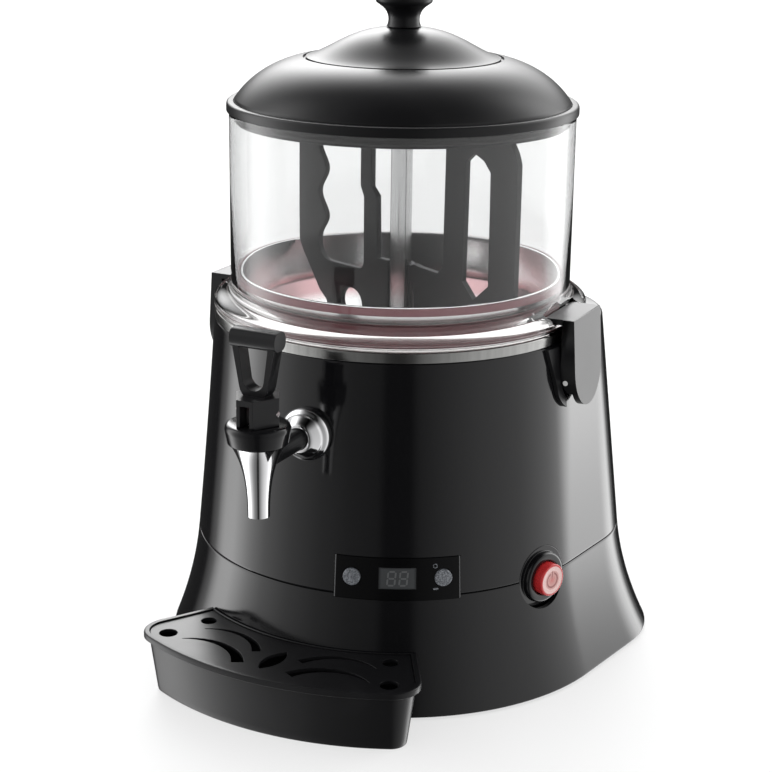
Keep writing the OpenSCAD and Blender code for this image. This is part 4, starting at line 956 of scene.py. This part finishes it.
def digit_bars():
    """Two unlit seven-segment digits, as flat bars (across, up) about the window's centre."""
    places = ((0, 4, 0), (0, 0, 0), (0, -4, 0), (-2.1, 2, 1), (2.1, 2, 1), (-2.1, -2, 1), (2.1, -2, 1))
    return np.array([segment(1.8, 0.5, 0.1, [x, z], upright) + [middle, 0]
                     for middle in (-3.4, 3.4) for x, z, upright in places])


def key_marks():
    """A plain ring of eight short bars above the right key and a plain bar below it."""
    bars = []
    for step in range(8):
        turn = math.radians(45 * step)
        spin = np.array([[math.cos(turn), math.sin(turn)], [-math.sin(turn), math.cos(turn)]])
        bars.append(segment(0.52, 0.2, 0, [0, 1.1], False) @ spin + [-4.6, 7.0])
    bars.append(segment(1.6, 0.55, 0, [-4.4, -6.3], False))
    return np.array(bars)


def raised_bars(name, bars, az, lift, slot):
    """Flat bars 0.16 mm thick that stand lift mm out from the casing's front: across becomes an angle
    about the upright axis, up a height, and the front's radius there carries the bar."""
    across, up = bars[:, :, 0], bars[:, :, 1:]
    front = np.array([[front_r(BUTTON_Z + z) for z in bar] for bar in bars[:, :, 1]])
    rows = []
    for depth in (-0.1, 0.06):
        r = front + lift + depth
        rows.append(np.concatenate([polar(r, math.radians(az) + across / r), BUTTON_Z + up], -1))
    points = np.concatenate(rows, 1)
    base = (np.arange(len(bars)) * 12)[:, None, None]
    i = np.arange(6)
    sides = np.stack([i, (i + 1) % 6, 6 + (i + 1) % 6, 6 + i], -1)[None] + base
    caps = np.array([[6, 7, 8, 9], [6, 9, 10, 11], [3, 2, 1, 0], [5, 4, 3, 0]])[None] + base
    faces = np.concatenate([sides.reshape(-1, 4), caps.reshape(-1, 4)])
    make_piece(name, points.reshape(-1, 3), faces, slot, "housing")


def build_marks():
    """The digits on the display window, and the ring and bar beside the right key."""
    raised_bars("display_digits", digit_bars(), PANEL_AZ, WINDOW_LIFT + 0.1, "display_glass")
    raised_bars("key_marks", key_marks(), PANEL_AZ + BUTTON_AZ, PANEL_PROUD, "button_grey")


# ---- drip tray ---------------------------------------------------------------------------

def tray_ring(z, d, back):
    """The tray's plan at a height, grown by d: the sector that the lines at +-TRAY_HALF cut from a
    circle about the origin, its front corners rounded with radius TRAY_CORNER + d, its sides moved
    out by d, closed at the back by the arc of radius back."""
    front = front_r(0) + TRAY_OUT
    core = front - TRAY_CORNER
    corner = TRAY_HALF - math.asin(TRAY_CORNER / core)
    rear = TRAY_HALF + math.asin(d / back)
    arc = polar(front + d, np.linspace(0, corner, 49))
    turn = np.linspace(corner, TRAY_HALF + math.pi / 2, 17)
    bend = polar(core, corner) + polar(TRAY_CORNER + d, turn)
    side = bend[-1] + (polar(back, rear) - bend[-1]) * np.linspace(0, 1, 9)[1:, None]
    inner = polar(back, np.linspace(rear, 0, 49)[1:])
    half = np.concatenate([arc, bend[1:], side, inner])
    return at_height(np.concatenate([half, half[-2:0:-1] * [-1, 1]]), z)


def build_tray():
    """The tray as one skin: up its drafted outer wall, round the rim, down past the grate's seat
    and the inner wall; floor and underside close the two ends."""
    low, high = front_r(0) + TRAY_STANDOFF, front_r(TRAY_H) + TRAY_STANDOFF
    rim_z = TRAY_H - TRAY_RIM_H
    seat_z = TRAY_H - GRATE_T
    edge = 0.9
    bead = 1.1

    def draft(z):
        """Growth of the outer wall's plan at a height: none at the top, -TRAY_DRAFT at the counter."""
        return -TRAY_DRAFT * (1 - z / TRAY_H)

    def hollow(z):
        """Radius of the back, which follows the casing's front, at a height."""
        return low + (high - low) * z / TRAY_H

    quarter = np.linspace(0, math.pi / 2, 5)
    levels = [(edge * (1 - math.cos(a)), draft(0) - edge * (1 - math.sin(a)), low + edge * (1 - math.sin(a)))
              for a in quarter]
    levels += [(z, draft(z), hollow(z)) for z in np.linspace(2, rim_z, 12)]
    levels += [(rim_z, TRAY_RIM - 0.4, high), (rim_z + 0.4, TRAY_RIM, high), (TRAY_H - bead, TRAY_RIM, high)]
    quarter = np.linspace(0, math.pi / 2, 6)[1:]
    levels += [(TRAY_H - bead * (1 - math.sin(a)), TRAY_RIM - bead * (1 - math.cos(a)), high)
               for a in quarter]
    levels += [(TRAY_H, -0.5, high + 0.5), (TRAY_H - 0.3, -GRATE_SEAT, high + GRATE_SEAT),
               (seat_z, -GRATE_SEAT, high + GRATE_SEAT)]
    levels += [(z, draft(z) - TRAY_WALL, hollow(z) + TRAY_WALL) for z in np.linspace(seat_z, TRAY_WALL, 6)]
    rings = np.array([tray_ring(*level) for level in levels])
    skin("tray_tub", rings, SLOT_OF["drip_tray"], "drip_tray", open_ends=True)


# ---- assembly ----------------------------------------------------------------------------

build_casing()
build_skirt()
build_band()
build_bowl()
build_gaskets()
build_tank()
build_lid()
build_knob()
build_tap()
build_switch()
build_marks()
build_tray()

# width of the rounded edges of the pieces that keep the CAD node's own shape
EDGES = {
    "paddle_left": 0.8, "paddle_right": 0.8, "agitator_cap": 0.3, "clip_left": 1.1, "clip_right": 1.1,
    "clip_bracket_left": 0.5, "clip_bracket_right": 0.5, "tap_handle": 1.2,
    "drip_grate": 0.35, "panel_bezel": 0.3, "button_left": 0.5, "button_right": 0.5, "power_inlet": 0.4,
    "tap_body": 0.3,
}
copies = {node: moulded_copy(node, width) for node, width in EDGES.items()}
copies["panel_bezel"].data.materials[0] = panel_plate("panel_black", (0.002, 0.002, 0.0022))


# ---- stage -------------------------------------------------------------------------------

def build_stage():
    """A plain pale floor, which shines a little by itself so that it stays white."""
    half = 6.0
    mesh = bpy.data.meshes.new("floor")
    corners = [(-half, -half, 0), (half, -half, 0), (half, half, 0), (-half, half, 0)]
    mesh.from_pydata(corners, [], [(0, 1, 2, 3)])
    floor = bpy.data.objects.new("floor", mesh)
    bpy.context.scene.collection.objects.link(floor)
    finish = Finish("floor_pale", (0.2, 0.2, 0.2), 0.7, Emission_Color=(1, 1, 1, 1), Emission_Strength=0.65)
    mesh.materials.append(finish.data)
    floor.visible_glossy = False


# How bright the surroundings are in mirrors at each side, in degrees from the camera's side: dark
# behind the camera, rising to a tall soft light at each rear corner, dark again behind the machine
GLOW = [(-180, 0.03), (-136, 0.03), (-126, 0.6), (-116, 3.0), (-106, 4.0), (-98, 3.4), (-90, 2.4), (-80, 1.5),
        (-62, 0.78), (-44, 0.4), (-27, 0.22), (-11, 0.15), (-7, 0.03), (7, 0.03), (12, 0.2), (30, 0.45),
        (47, 0.69), (74, 0.97), (98, 1.5), (107, 1.9), (115, 3.6), (124, 4.3), (133, 3.8), (142, 0.5),
        (150, 0.03), (180, 0.03)]
# The wall behind the machine above its height, by the same degrees
BACKDROP = [(-180, 7.5), (-168, 7.4), (-158, 4.0), (-140, 1.0), (-100, 0.3), (-90, 0.0), (90, 0.0),
            (125, 1.5), (160, 3.0), (180, 7.5)]
GLOW_MOST = 7.5                # the brightest level of the two lists, where a ramp reaches 1

CAMERA_AZ = 26.5               # degrees
CAMERA_TILT = 72.86
CAMERA_ROLL = 0.71
CAMERA_PLACE = (0.469, -0.958, 0.483)
CAMERA_LENS = 85.4             # millimetres, on a sensor 36 wide


def build_surroundings():
    """The room as mirrored by the machine, by direction: GLOW at and below the machine's height, the
    brighter of GLOW and BACKDROP above it, and a dark ceiling. The camera sees white, also through
    the tank."""
    world = bpy.data.worlds.new("studio")
    bpy.context.scene.world = world
    world.use_nodes = True
    room = Nodes(world.node_tree)
    aim = room.add("ShaderNodeTexCoord", {}, {}, "Generated")
    aim = room.add("ShaderNodeVectorRotate", {"rotation_type": "Z_AXIS"},
                   {"Vector": aim, "Angle": -math.radians(CAMERA_AZ)})
    x, y, z = room.axes(aim)
    turn = room.around(x, y) / TAU + 0.5

    def by_side(table):
        """One of the two lists as a ramp about the upright axis."""
        stops = [(0.5 + degrees / 360, level / GLOW_MOST) for degrees, level in table]
        return room.add("ShaderNodeValToRGB", {"stops": stops}, {"Fac": turn}) * GLOW_MOST

    low = by_side(GLOW)
    raised = z.ramp(0.08, 0.35)
    ceiling = z.ramp(0.5, 0.95)
    level = (low * (1 - raised) + low.highest(by_side(BACKDROP)) * raised) * (1 - ceiling * 0.97)
    direct = room.add("ShaderNodeLightPath", {}, {}, "Is Camera Ray")
    through = room.add("ShaderNodeLightPath", {}, {}, "Is Transmission Ray")
    seen = direct.highest(through)
    level = level * (1 - seen) + seen
    background = world.node_tree.nodes["Background"]
    background.inputs["Color"].default_value = (1, 1, 1, 1)
    world.node_tree.links.new(level.socket, background.inputs["Strength"])


def build_skylight():
    """A wide overhead light that fills the scene evenly and leaves hardly any shadow."""
    lamp = bpy.data.lights.new("skylight", "SUN")
    lamp.energy = 2.6
    lamp.angle = math.radians(150)
    light = bpy.data.objects.new("skylight", lamp)
    light.visible_glossy = False
    bpy.context.scene.collection.objects.link(light)


def build_camera():
    """The photograph's viewpoint: turned about the upright axis, tilted down and slightly rolled."""
    camera = bpy.data.cameras.new("camera")
    camera.sensor_width = 36
    camera.lens = CAMERA_LENS
    camera.clip_start, camera.clip_end = 0.05, 50
    eye = bpy.data.objects.new("camera", camera)
    bpy.context.scene.collection.objects.link(eye)
    turn = Matrix.Rotation(math.radians(CAMERA_AZ), 4, "Z")
    tilt = Matrix.Rotation(math.radians(CAMERA_TILT), 4, "X")
    roll = Matrix.Rotation(math.radians(CAMERA_ROLL), 4, "Z")
    eye.matrix_world = Matrix.Translation(CAMERA_PLACE) @ turn @ tilt @ roll
    bpy.context.scene.camera = eye


build_stage()
build_surroundings()
build_skylight()
build_camera()
bpy.context.scene.view_settings.view_transform = "Standard"
